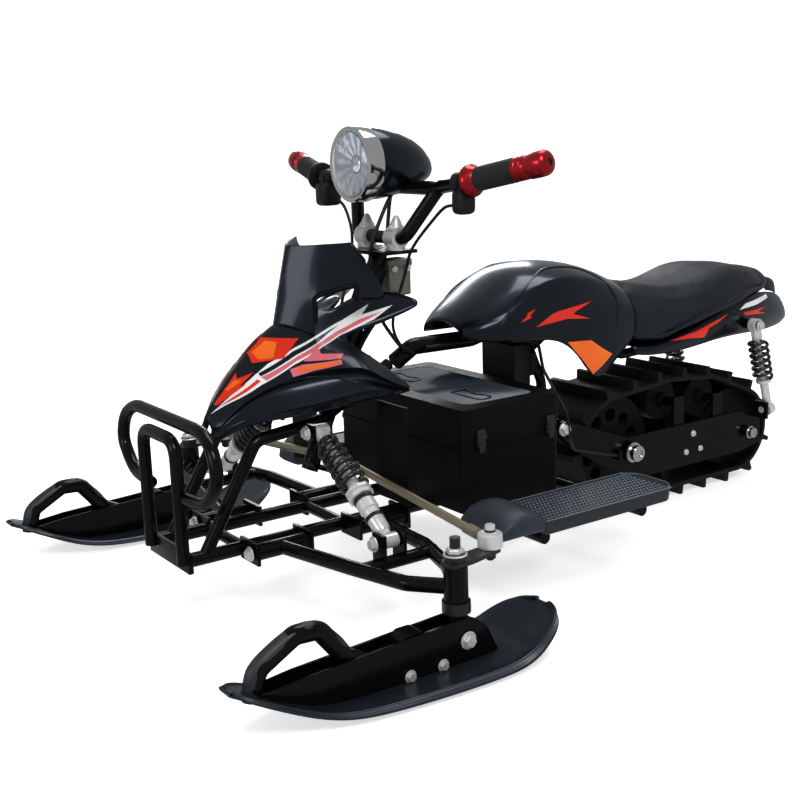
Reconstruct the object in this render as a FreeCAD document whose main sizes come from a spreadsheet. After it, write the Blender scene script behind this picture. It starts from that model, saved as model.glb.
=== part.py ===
import FreeCAD, Part
import math
import os
import re
import Sketcher
from FreeCAD import Placement, Rotation, Vector

# Small electric snowmobile: two steered skis in front, one lugged track behind.
# Millimetres. +Z up, the nose points to -Y, the rider's left is +X.
# The origin lies on the ground, midway along and across the machine.

doc = FreeCAD.newDocument("Snowmobile")
sheet = doc.addObject("Spreadsheet::Sheet", "Sizes")

# Driving sizes, one per cell. Pairs of like pieces share them.
sizes = [
    # name, value
    # steering
    ("rake", 24),
    ("headY", -243),
    ("headZ", 528),
    ("columnTube", 28),
    ("columnLong", 376),
    ("pitmanReach", 55),
    ("pitmanStud", 20),
    ("wideEye", 34),
    ("wideBore", 22),
    ("wideEyeLift", 24),
    ("wideEyeThick", 12),
    ("barTube", 22),
    ("barSpan", 700),
    ("riserTall", 36),
    ("gripTube", 32),
    ("pinFit", 0.05),
    ("turnGap", 0.4),
    # kingpins, tie rods and skis
    ("skiSpread", 414),
    ("kingpinY", -416),
    ("kingpinPin", 15),
    ("bushTube", 34),
    ("bushLow", 95.4),
    ("bushHigh", 145),
    ("collarLow", 79),
    ("tieArmIn", 12),
    ("tieArmBack", 70),
    ("tieRod", 13),
    ("eyeRing", 34),
    ("eyeThick", 18),
    ("studPin", 10),
    ("pivotBoltZ", 42),
    ("pivotBolt", 12),
    ("plateSpread", 18),
    ("skiPlate", 4),
    ("skiThick", 8),
    ("skiRib", 3),
    ("skiWide", 164),
    ("skiTipY", -766),
    ("skiTipZ", 64),
    ("skiHeelY", -262),
    ("skiHeelZ", 46),
    ("loopTube", 26),
    # frame
    ("railTube", 22),
    ("plateThick", 5),
    ("railSpread", 59),
    ("railZ", 104),
    ("noseY", -642),
    ("railEndY", 62),
    ("frameBend", 25),
    ("upperZ", 275),
    ("bumperTube", 20),
    ("bumperWide", 170),
    ("bumperTop", 311),
    ("spineTube", 30),
    # front suspension
    ("armPivotX", 95),
    ("armPivotZ", 105),
    ("armPivotTube", 26),
    ("armTube", 22),
    ("shockY", -421),
    ("shockTopX", 82),
    ("shockTopZ", 270),
    ("shockFootX", 262),
    ("shockFootZ", 140),
    # track
    ("trackWide", 154),
    ("beltThick", 8),
    ("lugTall", 17),
    ("lugThick", 12),
    ("lugPitch", 66),
    ("driveY", 232),
    ("driveRadius", 105),
    ("idlerRadius", 48),
    ("tailWheelY", 560),
    ("tailWheelRadius", 87),
    ("guideWide", 28),
    ("guideTall", 14),
    ("guideFoot", 20),
    ("wheelHalf", 26),
    ("wheelFit", 0.3),
    ("axlePin", 20),
    # swing arm
    ("armPlate", 5),
    ("armWide", 200),
    ("armPivotHeight", 195),
    # battery box
    ("boxWide", 368),
    ("boxFrontY", -222),
    ("boxBackY", -15),
    ("boxWall", 4),
    ("lidLow", 239),
    ("boxTop", 286),
    ("cableWide", 6),
    # footboards
    ("boardIn", 225),
    ("boardOut", 340),
    ("boardFrontY", -217),
    ("boardBackY", 103),
    ("boardZ", 113),
    ("boardThick", 24),
    ("toeY", -276),
    ("toeZ", 163),
    # bodywork
    ("skin", 4),
    ("lampRing", 120),
    ("lampY", -289),
    ("lampZ", 666),
]

for row, (name, value) in enumerate(sizes, start=1):
    sheet.set(f"A{row}", name)
    sheet.set(f"B{row}", str(value))
    sheet.setAlias(f"B{row}", name)
doc.recompute()

aliasPattern = re.compile(r"\b(" + "|".join(name for name, _ in sizes) + r")\b")


def full(expression):
    """Write a sheet expression with the sheet's name before each alias."""
    return aliasPattern.sub(r"Sizes.\1", str(expression))


def size(expression):
    """Value of an expression of named sizes."""
    return float(doc.getObject("Gauge").evalExpression(full(expression)))


doc.addObject("Part::Feature", "Gauge")


def bind(thing, **links):
    for name, expression in links.items():
        thing.setExpression(name.replace("_", "."), full(expression))
    return thing


def place(thing, x=0, y=0, z=0):
    return bind(thing, Placement_Base_x=x, Placement_Base_y=y, Placement_Base_z=z)


def box(name, x, y, z):
    """A box between pairs of limits."""
    thing = doc.addObject("Part::Box", name)
    bind(thing, Length=f"({x[1]}) - ({x[0]})", Width=f"({y[1]}) - ({y[0]})", Height=f"({z[1]}) - ({z[0]})")
    return place(thing, x[0], y[0], z[0])


turnTo = {"X": Rotation(Vector(0, 1, 0), 90), "Y": Rotation(Vector(1, 0, 0), -90), "Z": Rotation()}


def rod(name, along, start, length, radius):
    """A round bar from a start point along one axis."""
    thing = doc.addObject("Part::Cylinder", name)
    thing.Placement = Placement(Vector(), turnTo[along])
    bind(thing, Radius=radius, Height=length)
    return place(thing, *start)


def fuse(name, things):
    if len(things) == 1:
        return things[0]
    whole = doc.addObject("Part::MultiFuse", name)
    whole.Shapes = things
    whole.Refine = True
    return whole


def cut(name, base, tool):
    rest = doc.addObject("Part::Cut", name)
    rest.Base = base
    rest.Tool = tool
    return rest


def mirror(name, source):
    twin = doc.addObject("Part::Mirroring", name)
    twin.Source = source
    twin.Normal = Vector(1, 0, 0)
    return twin


def route(points, bend):
    """Straight runs joined by tangent arcs of one radius."""
    corners = [Vector(*point) for point in points]
    edges = []
    start = corners[0]
    for before, corner, after in zip(corners, corners[1:], corners[2:]):
        back = (before - corner).normalize()
        onward = (after - corner).normalize()
        half = back.getAngle(onward) / 2
        reach = bend / math.tan(half)
        first = corner + back * reach
        last = corner + onward * reach
        inward = (back + onward).normalize()
        middle = corner + inward * (bend / math.sin(half) - bend)
        edges.append(Part.LineSegment(start, first).toShape())
        edges.append(Part.Arc(first, middle, last).toShape())
        start = last
    edges.append(Part.LineSegment(start, corners[-1]).toShape())
    return Part.Wire(edges)


def tube(name, points, bend, radius):
    """A round tube swept along runs and arcs."""
    spine = doc.addObject("Part::Feature", name + "Route")
    spine.Shape = route([[size(value) for value in point] for point in points], size(bend))
    ring = doc.addObject("Part::Circle", name + "Ring")
    bind(ring, Radius=radius)
    ahead = Vector(*[size(v) for v in points[1]]) - Vector(*[size(v) for v in points[0]])
    ring.Placement = Placement(spine.Shape.Vertexes[0].Point, Rotation(Vector(0, 0, 1), ahead))
    swept = doc.addObject("Part::Sweep", name)
    swept.Sections = [ring]
    swept.Spine = (spine, [f"Edge{i + 1}" for i in range(len(spine.Shape.Edges))])
    swept.Solid = True
    swept.Frenet = False
    return swept


def plane(body, role):
    return next(item for item in body.Origin.OriginFeatures if item.Role == role)


def outline(body, name, role, corners, offset=0):
    """A closed sketch of straight runs whose corners are tied to the sheet."""
    sketch = body.newObject("Sketcher::SketchObject", name)
    sketch.AttachmentSupport = [(plane(body, role), "")]
    sketch.MapMode = "FlatFace"
    bind(sketch, AttachmentOffset_Base_z=offset)
    spots = [Vector(size(across), size(up), 0) for across, up, *_ in corners]
    count = len(spots)
    for index in range(count):
        sketch.addGeometry(Part.LineSegment(spots[index], spots[(index + 1) % count]), False)
    for index in range(count):
        sketch.addConstraint(Sketcher.Constraint("Coincident", index, 2, (index + 1) % count, 1))
    for index, (across, up, *_) in enumerate(corners):
        for kind, text, value in (("DistanceX", across, spots[index].x), ("DistanceY", up, spots[index].y)):
            number = sketch.addConstraint(Sketcher.Constraint(kind, -1, 1, index, 1, value))
            sketch.setExpression(f"Constraints[{number}]", full(text))
    return sketch


def roundCorners(body, sketch, corners, name):
    """Fillet the padded edges that stand on the corners that name a radius."""
    for number, radius in enumerate(sorted({corner[2] for corner in corners if len(corner) > 2})):
        doc.recompute()
        spots = [sketch.Placement.multVec(Vector(size(c[0]), size(c[1]), 0)) for c in corners
                 if len(c) > 2 and c[2] == radius]
        normal = sketch.Placement.Rotation.multVec(Vector(0, 0, 1))
        names = []
        for index, edge in enumerate(body.Tip.Shape.Edges):
            if edge.Curve.TypeId != "Part::GeomLine" or edge.tangentAt(0).cross(normal).Length > 1e-6:
                continue
            at = edge.Vertexes[0].Point
            if any((at - spot).cross(normal).Length < 1e-4 for spot in spots):
                names.append(f"Edge{index + 1}")
        fillet = body.newObject("PartDesign::Fillet", f"{name}Round{number}")
        fillet.Base = (body.Tip if body.Tip != fillet else fillet.BaseFeature, names)
        bind(fillet, Radius=radius)


parts = {}


def label(thing, name):
    """Name a finished sub-part after its file."""
    thing.Label = name
    parts[name] = thing
    return thing


def pair(thing, name):
    """Label a left piece and mirror its right twin."""
    label(thing, "left_" + name)
    label(mirror("twin_" + name, thing), "right_" + name)


def rakedRod(name, low, length, radius, across=0, back=0):
    """A round bar along the steering axis, measured from the head."""
    thing = doc.addObject("Part::Cylinder", name)
    thing.Placement = Placement(Vector(), Rotation(Vector(1, 0, 0), -size("rake")))
    bind(thing, Radius=radius, Height=length)
    return place(thing, across, f"headY + ({low})*sin(rake*1deg) + ({back})*cos(rake*1deg)",
                 f"headZ + ({low})*cos(rake*1deg) - ({back})*sin(rake*1deg)")


def rakedBox(name, x, back, high):
    """A box square to the steering axis, measured from the head."""
    thing = doc.addObject("Part::Box", name)
    thing.Placement = Placement(Vector(), Rotation(Vector(1, 0, 0), -size("rake")))
    bind(thing, Length=f"({x[1]}) - ({x[0]})", Width=f"({back[1]}) - ({back[0]})",
         Height=f"({high[1]}) - ({high[0]})")
    return place(thing, x[0], f"headY + ({high[0]})*sin(rake*1deg) + ({back[0]})*cos(rake*1deg)",
                 f"headZ + ({high[0]})*cos(rake*1deg) - ({back[0]})*sin(rake*1deg)")


def padded(name, role, corners, low, high, holes=()):
    """A plate with rounded corners between two distances from its plane, and round holes through it."""
    body = doc.addObject("PartDesign::Body", name + "Body")
    sketch = outline(body, name + "Outline", role, corners, low)
    pad = body.newObject("PartDesign::Pad", name + "Pad")
    pad.Profile = sketch
    bind(pad, Length=f"({high}) - ({low})")
    doc.recompute()
    roundCorners(body, sketch, corners, name)
    for number, (across, up, radius) in enumerate(holes):
        spot = body.newObject("Sketcher::SketchObject", f"{name}Hole{number}")
        spot.AttachmentSupport = [(plane(body, role), "")]
        spot.MapMode = "FlatFace"
        bind(spot, AttachmentOffset_Base_z=low)
        spot.addGeometry(Part.Circle(Vector(size(across), size(up), 0), Vector(0, 0, 1), size(radius)), False)
        for kind, text, index in (("DistanceX", across, 3), ("DistanceY", up, 3)):
            mark = spot.addConstraint(Sketcher.Constraint(kind, -1, 1, 0, index, size(text)))
            spot.setExpression(f"Constraints[{mark}]", full(text))
        mark = spot.addConstraint(Sketcher.Constraint("Radius", 0, size(radius)))
        spot.setExpression(f"Constraints[{mark}]", full(radius))
        pocket = body.newObject("PartDesign::Pocket", f"{name}Pocket{number}")
        pocket.Profile = spot
        pocket.Type = "ThroughAll"
        pocket.Midplane = True
        doc.recompute()
    return body


def shaped(name, shape):
    """A free form set from the sheet's values."""
    thing = doc.addObject("Part::Feature", name)
    thing.Shape = shape
    return thing


def loft(sections, ruled=True):
    """A solid through closed outlines."""
    wires = [Part.makePolygon([Vector(*point) for point in section + section[:1]]) for section in sections]
    return Part.makeLoft(wires, True, ruled)


# ---------------------------------------------------------------- frame
def tubeFrame():
    """Two lower rails that rise to the swing arm, upper tubes, ears and cross pieces."""
    rail = tube("rail", [("railSpread", "noseY", "railZ"), ("railSpread", "railEndY - 30", "railZ"),
                         ("railSpread", "railEndY", "railZ + 34"),
                         ("railSpread", "railEndY", "armPivotHeight")], "frameBend", "railTube/2")
    upper = tube("upper", [("railSpread", "noseY + 24", "railZ"), ("railSpread", "noseY + 121", "upperZ - 8"),
                           ("railSpread", "noseY + 202", "upperZ"), ("railSpread", "noseY + 240", "upperZ + 6"),
                           (24, "headY - 8", "upperZ + 68")], "frameBend", "railTube/2 - 1")
    pieces = [rail, upper, mirror("railRight", rail), mirror("upperRight", upper)]
    pieces.append(rod("swingTube", "X", ("2.5 - armWide/2 + armPlate", "railEndY", "armPivotHeight"),
                      "armWide - 2*armPlate - 5", "railTube/2 + 4"))
    for number, y in enumerate(("noseY + 90", "noseY + 270", "boxFrontY + 30", "boxBackY - 25")):
        pieces.append(rod(f"crossTube{number}", "X", ("-railSpread", y, "railZ"), "2*railSpread", "railTube/2 - 2"))
    pieces.append(box("bearingBar", ("-railSpread + 12", "railSpread - 12"), ("headY - 118", "headY - 88"),
                      ("upperZ + 12", "upperZ + 34")))
    for side, out in (("Left", 1), ("Right", -1)):
        near = "railSpread - 4" if out > 0 else "-armPivotX - 16"
        far = "armPivotX + 16" if out > 0 else "-railSpread + 4"
        for number, y in enumerate(("kingpinY - 135 - plateThick", "kingpinY - 47", "kingpinY + 47 - plateThick",
                                    "kingpinY + 135")):
            pieces.append(box(f"armEar{side}{number}", (near, far), (y, f"{y} + plateThick"),
                              ("railZ - 16", "railZ + 18")))
        near = "railSpread" if out > 0 else "-shockTopX - 9"
        far = "shockTopX + 9" if out > 0 else "-railSpread"
        for number, y in enumerate(("shockY - 12.5 - plateThick", "shockY + 12.5")):
            pieces.append(box(f"shockEar{side}{number}", (near, far), (y, f"{y} + plateThick"),
                              ("shockTopZ - 12", "shockTopZ + 12")))
        for number, y in enumerate(("boardFrontY + 45", "boardBackY - 65")):
            pieces.append(rod(f"boardTube{side}{number}", "X",
                              ("0" if out > 0 else "-boardOut + 20", y, "boardZ - 10"), "boardOut - 20", "10"))
    whole = fuse("frameTubes", pieces)
    bores = fuse("frameBores", [rakedRod("bearingBore", "-columnLong", "columnLong", "columnTube/2 + pinFit"),
                                rod("swingBore", "X", (-150, "railEndY", "armPivotHeight"), 300, 8)])
    return label(cut("frameBored", whole, bores), "main_frame")


def spineAndSeatFrame():
    """The tube above the battery box, its post, and the seat's two rear tubes."""
    spine = tube("spine", [(0, "headY + 22", "upperZ + 64"), (0, "headY + 60", "upperZ + 86"),
                           (0, -60, "upperZ + 84"), (0, 10, "upperZ + 100"), (0, 120, "upperZ + 105")],
                 "frameBend", "spineTube/2")
    rear = tube("seatTube", [(0, 110, "upperZ + 100"), (32, 160, "upperZ + 96"), (44, 260, "upperZ + 18"),
                             (44, 420, "upperZ + 26"), (44, "tailWheelY + 2", "upperZ + 58")],
                "frameBend", "railTube/2 - 2")
    stay = tube("stay", [("railSpread", "railEndY - 2", "armPivotHeight"), (50, "railEndY - 4", "upperZ"),
                         (6, "railEndY - 14", "upperZ + 98")], "frameBend", "railTube/2 - 2")
    plate = box("controllerPlate", (-46, 46), ("railEndY - 24", "railEndY - 10"), ("upperZ + 10", "upperZ + 50"))
    cross = rod("seatCross", "X", (-128, "tailWheelY - 3", "upperZ + 47"), 256, "railTube/2 - 2")
    pieces = [spine, rear, mirror("seatTubeRight", rear), stay, mirror("stayRight", stay), plate, cross]
    frame = cut("spineTrim", fuse("spineTubes", pieces), rod("swingRelief", "X", (-150, "railEndY", "armPivotHeight"), 300, "railTube/2 + 4"))
    return label(frame, "seat_frame")


def frontBumper():
    """An inner hoop and an outer loop of tube, on a folded plate across the rail ends."""
    front = "noseY - bumperTube/2"
    hoop = tube("hoop", [("railSpread - 1", front, "railZ - 4"), ("railSpread - 1", front, "bumperTop - 22"),
                         ("1 - railSpread", front, "bumperTop - 22"), ("1 - railSpread", front, "railZ - 4")],
                "frameBend", "bumperTube/2")
    loop = tube("loop", [("railSpread - 4", "noseY - 4", "bumperTop - 111"), ("bumperWide - 40", "noseY", "bumperTop - 106"),
                         ("bumperWide", "noseY + 1", "bumperTop - 62"), ("bumperWide - 14", "noseY + 3", "bumperTop - 20"),
                         ("bumperWide - 52", "noseY + 6", "bumperTop"), ("0", "noseY + 6", "bumperTop")],
                "20", "bumperTube/2")
    plate = box("frontPlate", ("-railSpread - 12", "railSpread + 12"), ("noseY - 8", "noseY"),
                ("railZ - 18", "railZ + 14"))
    return label(fuse("bumperTubes", [hoop, loop, mirror("loopRight", loop), plate]), "bumper")


def steeringBracket():
    """A box post that holds the upper bearing, standing on the spine tube."""
    post = box("headPost", (-17, 17), ("headY + 8", "headY + 48"), ("upperZ + 76", "headZ - 22"))
    ring = rakedRod("headBearing", -62, 30, "columnTube/2 + 8")
    web = box("headWeb", (-12, 12), ("headY - 8", "headY + 14"), ("headZ - 62", "headZ - 30"))
    bore = rakedRod("headBore", -110, 110, "columnTube/2 + pinFit")
    spine = parts["seat_frame"]
    blank = cut("headBored", fuse("headPieces", [post, ring, web]), bore)
    return label(cut("headSeated", blank, spine), "steering_bracket")


# ---------------------------------------------------------------- front suspension
def frontArm():
    """A forked arm of bent tube with two pivot tubes, a shock bar and a kingpin bush."""
    front = tube("armFront", [("armPivotX", "kingpinY - 91", "armPivotZ"), (250, "kingpinY - 64", "armPivotZ + 4"),
                              (358, "kingpinY - 44", "armPivotZ + 8"), ("skiSpread", "kingpinY", "armPivotZ + 9")],
                 "frameBend", "armTube/2")
    back = tube("armBack", [("armPivotX", "kingpinY + 89", "armPivotZ"), (238, "kingpinY + 76", "armPivotZ + 4"),
                            (340, "kingpinY + 42", "armPivotZ + 8"), ("skiSpread", "kingpinY", "armPivotZ + 9")],
                "frameBend", "armTube/2")
    bar = rod("armBar", "Y", ("shockFootX + 8", "kingpinY - 60", "armPivotZ + 5"), 132, "armTube/2 - 1")
    pieces = [front, back, bar]
    for number, y in enumerate(("kingpinY - 134.7", "kingpinY + 47.3")):
        pieces.append(rod(f"armBush{number}", "Y", ("armPivotX", y, "armPivotZ"), 87.4, "armPivotTube/2"))
    for number, y in enumerate(("shockY - 15 - plateThick", "shockY + 15")):
        pieces.append(box(f"shockFork{number}", ("shockFootX - 13", "shockFootX + 17"), (y, f"{y} + plateThick"),
                          ("armPivotZ + 4", "shockFootZ + 14")))
    pieces.append(rod("kingpinBush", "Z", ("skiSpread", "kingpinY", "bushLow"), "bushHigh - bushLow", "bushTube/2"))
    whole = fuse("armTubes", pieces)
    bore = rod("kingpinBore", "Z", ("skiSpread", "kingpinY", 0), 300, "kingpinPin/2 + pinFit")
    return pair(cut("armBored", whole, bore), "a_arm")


def shock(name, long, springLow, springHigh, eye, eyeThick, eyeAxes, body, shaft):
    """A sprung damper along +Z: two cross eyes, a body with collars and a thin shaft."""
    pieces = [rod(name + "Body", "Z", (0, 0, f"({eye})*0.7"), f"({springLow}) - ({eye})*0.7", body),
              rod(name + "Collar", "Z", (0, 0, f"({springLow}) - 6"), 6, f"({body})*1.75"),
              rod(name + "Shaft", "Z", (0, 0, springLow), f"({long}) - ({springLow})", shaft),
              rod(name + "Cap", "Z", (0, 0, springHigh), f"({long}) - ({springHigh}) - ({eye})*0.6", f"({body})*1.2")]
    for number, (at, along) in enumerate(zip((0, long), eyeAxes)):
        aside = f"-({eyeThick})/2"
        start = (0, aside, at) if along == "Y" else (aside, 0, at)
        pieces.append(rod(f"{name}Eye{number}", along, start, eyeThick, eye))
    return fuse(name + "Pieces", pieces)


def coil(low, high, turns, radius, wire):
    """A helical spring with its wire ends tucked against its seats."""
    spine = Part.makeHelix((high - low - 2 * wire) / turns, high - low - 2 * wire, radius)
    ring = Part.Wire([Part.Circle(Vector(radius, 0, 0), Vector(0, 1, 0), wire).toShape()])
    return Part.Wire(spine.Edges).makePipeShell([ring], True, False)


def dampers():
    """Front and rear dampers with their springs."""
    table = [
        # name, foot, head, spring from, spring to, turns, coil radius, wire radius, eye radius, eye width, eye axes
        ("front", ("shockFootX", "shockY", "shockFootZ"), ("shockTopX", "shockY", "shockTopZ"),
         0.44, 0.86, 6, 19, 4, 11, 24, "YY"),
        ("rear", (115, "tailWheelY + 45", 147), (115, "tailWheelY - 3", "upperZ + 47"),
         0.36, 0.84, 6, 17, 3.5, 13, 16, "YX"),
    ]
    for name, foot, head, low, high, turns, radius, wire, eye, thick, axes in table:
        reach = Vector(*[size(v) for v in head]) - Vector(*[size(v) for v in foot])
        long = reach.Length
        lie = Placement(Vector(*[size(v) for v in foot]), Rotation(Vector(0, 0, 1), reach))
        damper = shock(name + "Shock", long, long * low, long * high, eye, thick, axes, radius * 0.5, radius * 0.26)
        damper.Placement = lie
        spring = shaped(name + "Spring", coil(long * low, long * high, turns, radius, wire))
        spring.Placement = lie * Placement(Vector(0, 0, long * low + wire), Rotation())
        if name == "front":
            pair(damper, "front_shock")
        else:
            twins = doc.addObject("Part::Compound", "rearShocks")
            seated = cut("rearShockBored", damper, rod("rearShockBore", "X", (0, *head[1:]), 200, "railTube/2 - 2"))
            twins.Links = [seated, mirror("rearShockRight", seated)]
            label(twins, "rear_shocks")
        coils = doc.addObject("Part::Compound", name + "Springs")
        coils.Links = [spring, mirror(name + "SpringRight", spring)]
        label(coils, name + "_springs")


# ---------------------------------------------------------------- kingpins, tie rods and skis
def kingpin():
    """Stem between the ski's plates, collar, pin through the bush, steering arm and studs."""
    armTop = "bushHigh + turnGap + 6"
    pieces = [rod("stem", "Z", ("skiSpread", "kingpinY + 2", "pivotBoltZ - 18"), "collarLow - pivotBoltZ + 20", "12"),
              rod("collar", "Z", ("skiSpread", "kingpinY", "collarLow"), "bushLow - turnGap - collarLow", "bushTube/2 + 3"),
              rod("pin", "Z", ("skiSpread", "kingpinY", "collarLow"), "185 - collarLow", "kingpinPin/2"),
              rod("pinNut", "Z", ("skiSpread", "kingpinY", armTop), 12, "14")]
    arm = padded("steeringArm", "XY_Plane",
                 [("skiSpread - 16", "kingpinY - 16", 10), ("skiSpread + 16", "kingpinY - 16", 10),
                  ("skiSpread + 14", "kingpinY + 20", 8), ("skiSpread - tieArmIn + 12", "kingpinY + tieArmBack + 12", 8),
                  ("skiSpread - tieArmIn - 12", "kingpinY + tieArmBack + 12", 8), ("skiSpread - 18", "kingpinY + 20", 8)],
                 "bushHigh + turnGap", armTop)
    pieces.append(arm)
    stud = ("skiSpread - tieArmIn", "kingpinY + tieArmBack")
    pieces.append(rod("tieStud", "Z", (*stud, "bushHigh - 12"), "eyeThick + 28", "studPin/2"))
    pieces.append(rod("tieNut", "Z", (*stud, f"{armTop} + eyeThick + 1"), 7, "8"))
    pieces.append(rod("tieLowNut", "Z", (*stud, "bushHigh - 9"), "9 + turnGap", "8"))
    whole = fuse("kingpinPieces", pieces)
    bore = rod("pivotBore", "X", ("skiSpread - 30", "kingpinY + 4", "pivotBoltZ"), 60, "pivotBolt/2 + pinFit")
    return pair(cut("kingpinBored", whole, bore), "kingpin")


def tieRod():
    """A straight rod with a hex sleeve and an eye at each end; the inner eye is a wide one."""
    outer = ("skiSpread - tieArmIn", "kingpinY + tieArmBack", "bushHigh + turnGap + 6.5 + eyeThick/2")
    inner = ("pitmanStud", "headY - (columnLong - wideEyeLift - wideEyeThick/2)*sin(rake*1deg) + pitmanReach*cos(rake*1deg)",
             "headZ - (columnLong - wideEyeLift - wideEyeThick/2)*cos(rake*1deg) - pitmanReach*sin(rake*1deg)")
    reach = Vector(*[size(v) for v in inner]) - Vector(*[size(v) for v in outer])
    shank = rod("tieShank", "Z", (0, 0, "eyeRing/2 - 3"), reach.Length - size("eyeRing/2 + 12"), "tieRod/2")
    sleeve = doc.addObject("Part::Prism", "tieSleeve")
    sleeve.Polygon = 6
    bind(sleeve, Circumradius="tieRod/2 + 3", Height=22, Placement_Base_z="eyeRing/2 + 8")
    line = fuse("tieLine", [shank, sleeve])
    line.Placement = Placement(Vector(*[size(v) for v in outer]), Rotation(Vector(0, 0, 1), reach))
    ring = rod("tieEye", "Z", (outer[0], outer[1], "bushHigh + turnGap + 6.5"), "eyeThick", "eyeRing/2")
    wide = rakedRod("tieWideEye", "wideEyeLift - columnLong", "wideEyeThick", "wideEye/2", "pitmanStud", "pitmanReach")
    whole = fuse("tiePieces", [line, ring, wide])
    bores = fuse("tieBores", [rod("tieBore", "Z", (outer[0], outer[1], 100), 120, "studPin/2 + pinFit"),
                              rakedRod("tieWideBore", "-columnLong", 70, "wideBore/2", "pitmanStud", "pitmanReach")])
    return pair(cut("tieBored", whole, bores), "tie_rod")


def skiProfile(name, thick):
    """Side outline of the ski's skin: flat base, long upturned nose and short upturned heel."""
    corners = [("skiTipY", "skiTipZ"), ("skiTipY + 116", 0, 258), ("skiHeelY - 74", 0, 90), ("skiHeelY", "skiHeelZ"),
               ("skiHeelY - 2", f"skiHeelZ + {thick}"), ("skiHeelY - 76", thick, 82),
               ("skiTipY + 118", thick, 250), ("skiTipY + 3", f"skiTipZ + {thick}")]
    return padded(name, "YZ_Plane", corners, "skiSpread - skiWide/2 - 5", "skiSpread + skiWide/2 + 5")


def ski():
    """The plastic ski: a curved skin trimmed to its outline, with a raised inner deck."""
    half = "skiWide/2"
    skin = skiProfile("skiSkin", "skiThick")
    plan = padded("skiPlan", "XY_Plane",
                  [("skiSpread - 26", "skiTipY - 2", 24), ("skiSpread + 26", "skiTipY - 2", 24),
                   (f"skiSpread + {half} - 22", "skiTipY + 96", 60), (f"skiSpread + {half}", "kingpinY - 60", 200),
                   (f"skiSpread + {half} - 6", "kingpinY + 90", 120), ("skiSpread + 50", "skiHeelY + 2", 40),
                   ("skiSpread - 50", "skiHeelY + 2", 40), (f"skiSpread - {half} + 6", "kingpinY + 90", 120),
                   (f"skiSpread - {half}", "kingpinY - 60", 200), (f"skiSpread - {half} + 22", "skiTipY + 96", 60)],
                  "-1", "skiTipZ + 30")
    trimmed = doc.addObject("Part::MultiCommon", "skiTrim")
    trimmed.Shapes = [skin, plan]
    rib = skiProfile("skiRib", "skiThick + skiRib")
    inset = padded("skiInset", "XY_Plane", [
        ("skiSpread - 20", "skiTipY + 30", 18), ("skiSpread + 20", "skiTipY + 30", 18),
        (f"skiSpread + {half} - 36", "skiTipY + 100", 60), (f"skiSpread + {half} - 13", "kingpinY - 60", 200),
        (f"skiSpread + {half} - 20", "kingpinY + 80", 110), ("skiSpread + 32", "skiHeelY - 26", 30),
        ("skiSpread - 32", "skiHeelY - 26", 30), (f"skiSpread - {half} + 20", "kingpinY + 80", 110),
        (f"skiSpread - {half} + 13", "kingpinY - 60", 200), (f"skiSpread - {half} + 36", "skiTipY + 100", 60)],
        "-1", "skiTipZ + 40")
    deck = doc.addObject("Part::MultiCommon", "skiDeck")
    deck.Shapes = [rib, inset]
    return pair(fuse("skiWhole", [trimmed, deck]), "ski")


def skiBracket():
    """Two upright plates bolted to the ski, the pivot bolt and the bent loop between the plates."""
    corners = [("skiTipY + 26", 40), ("skiTipY + 110", 4),
               ("kingpinY + 62", 4), ("kingpinY + 38", 54, 20), ("kingpinY + 14", 73, 24),
               ("kingpinY - 14", 73, 24), ("skiTipY + 100", 62), ("skiTipY + 26", 54)]
    outer = padded("skiPlateOut", "YZ_Plane", corners, "skiSpread + plateSpread - skiPlate", "skiSpread + plateSpread")
    inner = padded("skiPlateIn", "YZ_Plane", corners, "skiSpread - plateSpread", "skiSpread - plateSpread + skiPlate")
    loop = tube("skiLoop", [("skiSpread", "skiTipY + 34", 52), ("skiSpread", "skiTipY + 44", 84),
                            ("skiSpread", "skiTipY + 98", 114), ("skiSpread", "skiTipY + 132", 112),
                            ("skiSpread", "skiTipY + 172", 62), ("skiSpread", "skiTipY + 250", "skiThick + 19")],
                20, "loopTube/2")
    bolt = rod("pivotBolt", "X", ("skiSpread - plateSpread - 8", "kingpinY + 4", "pivotBoltZ"), "2*plateSpread + 16", "pivotBolt/2")
    foot = box("skiFoot", ("skiSpread - plateSpread + skiPlate", "skiSpread + plateSpread - skiPlate"),
               ("skiTipY + 190", "kingpinY - 66"), ("skiThick", "skiThick + skiRib + 4"))
    buffer = padded("skiBuffer", "YZ_Plane", [("kingpinY - 112", "skiThick"), ("kingpinY - 60", "skiThick"),
                                               ("kingpinY - 60", 74, 14), ("kingpinY - 100", 74, 14)],
                    "skiSpread - plateSpread + skiPlate", "skiSpread + plateSpread - skiPlate")
    whole = fuse("skiBracketPieces", [outer, inner, loop, bolt, foot, buffer])
    below = padded("skiBelow", "YZ_Plane",
                   [("skiTipY - 20", -40), ("skiHeelY + 20", -40), ("skiHeelY + 20", "skiHeelZ + skiThick + skiRib"),
                    ("skiHeelY - 2", "skiHeelZ + skiThick + skiRib"), ("skiHeelY - 76", "skiThick + skiRib", 82),
                    ("skiTipY + 118", "skiThick + skiRib", 250), ("skiTipY + 3", "skiTipZ + skiThick + skiRib")],
                   "skiSpread - 40", "skiSpread + 40")
    return pair(cut("skiBracketSeated", whole, below), "ski_bracket")


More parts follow.
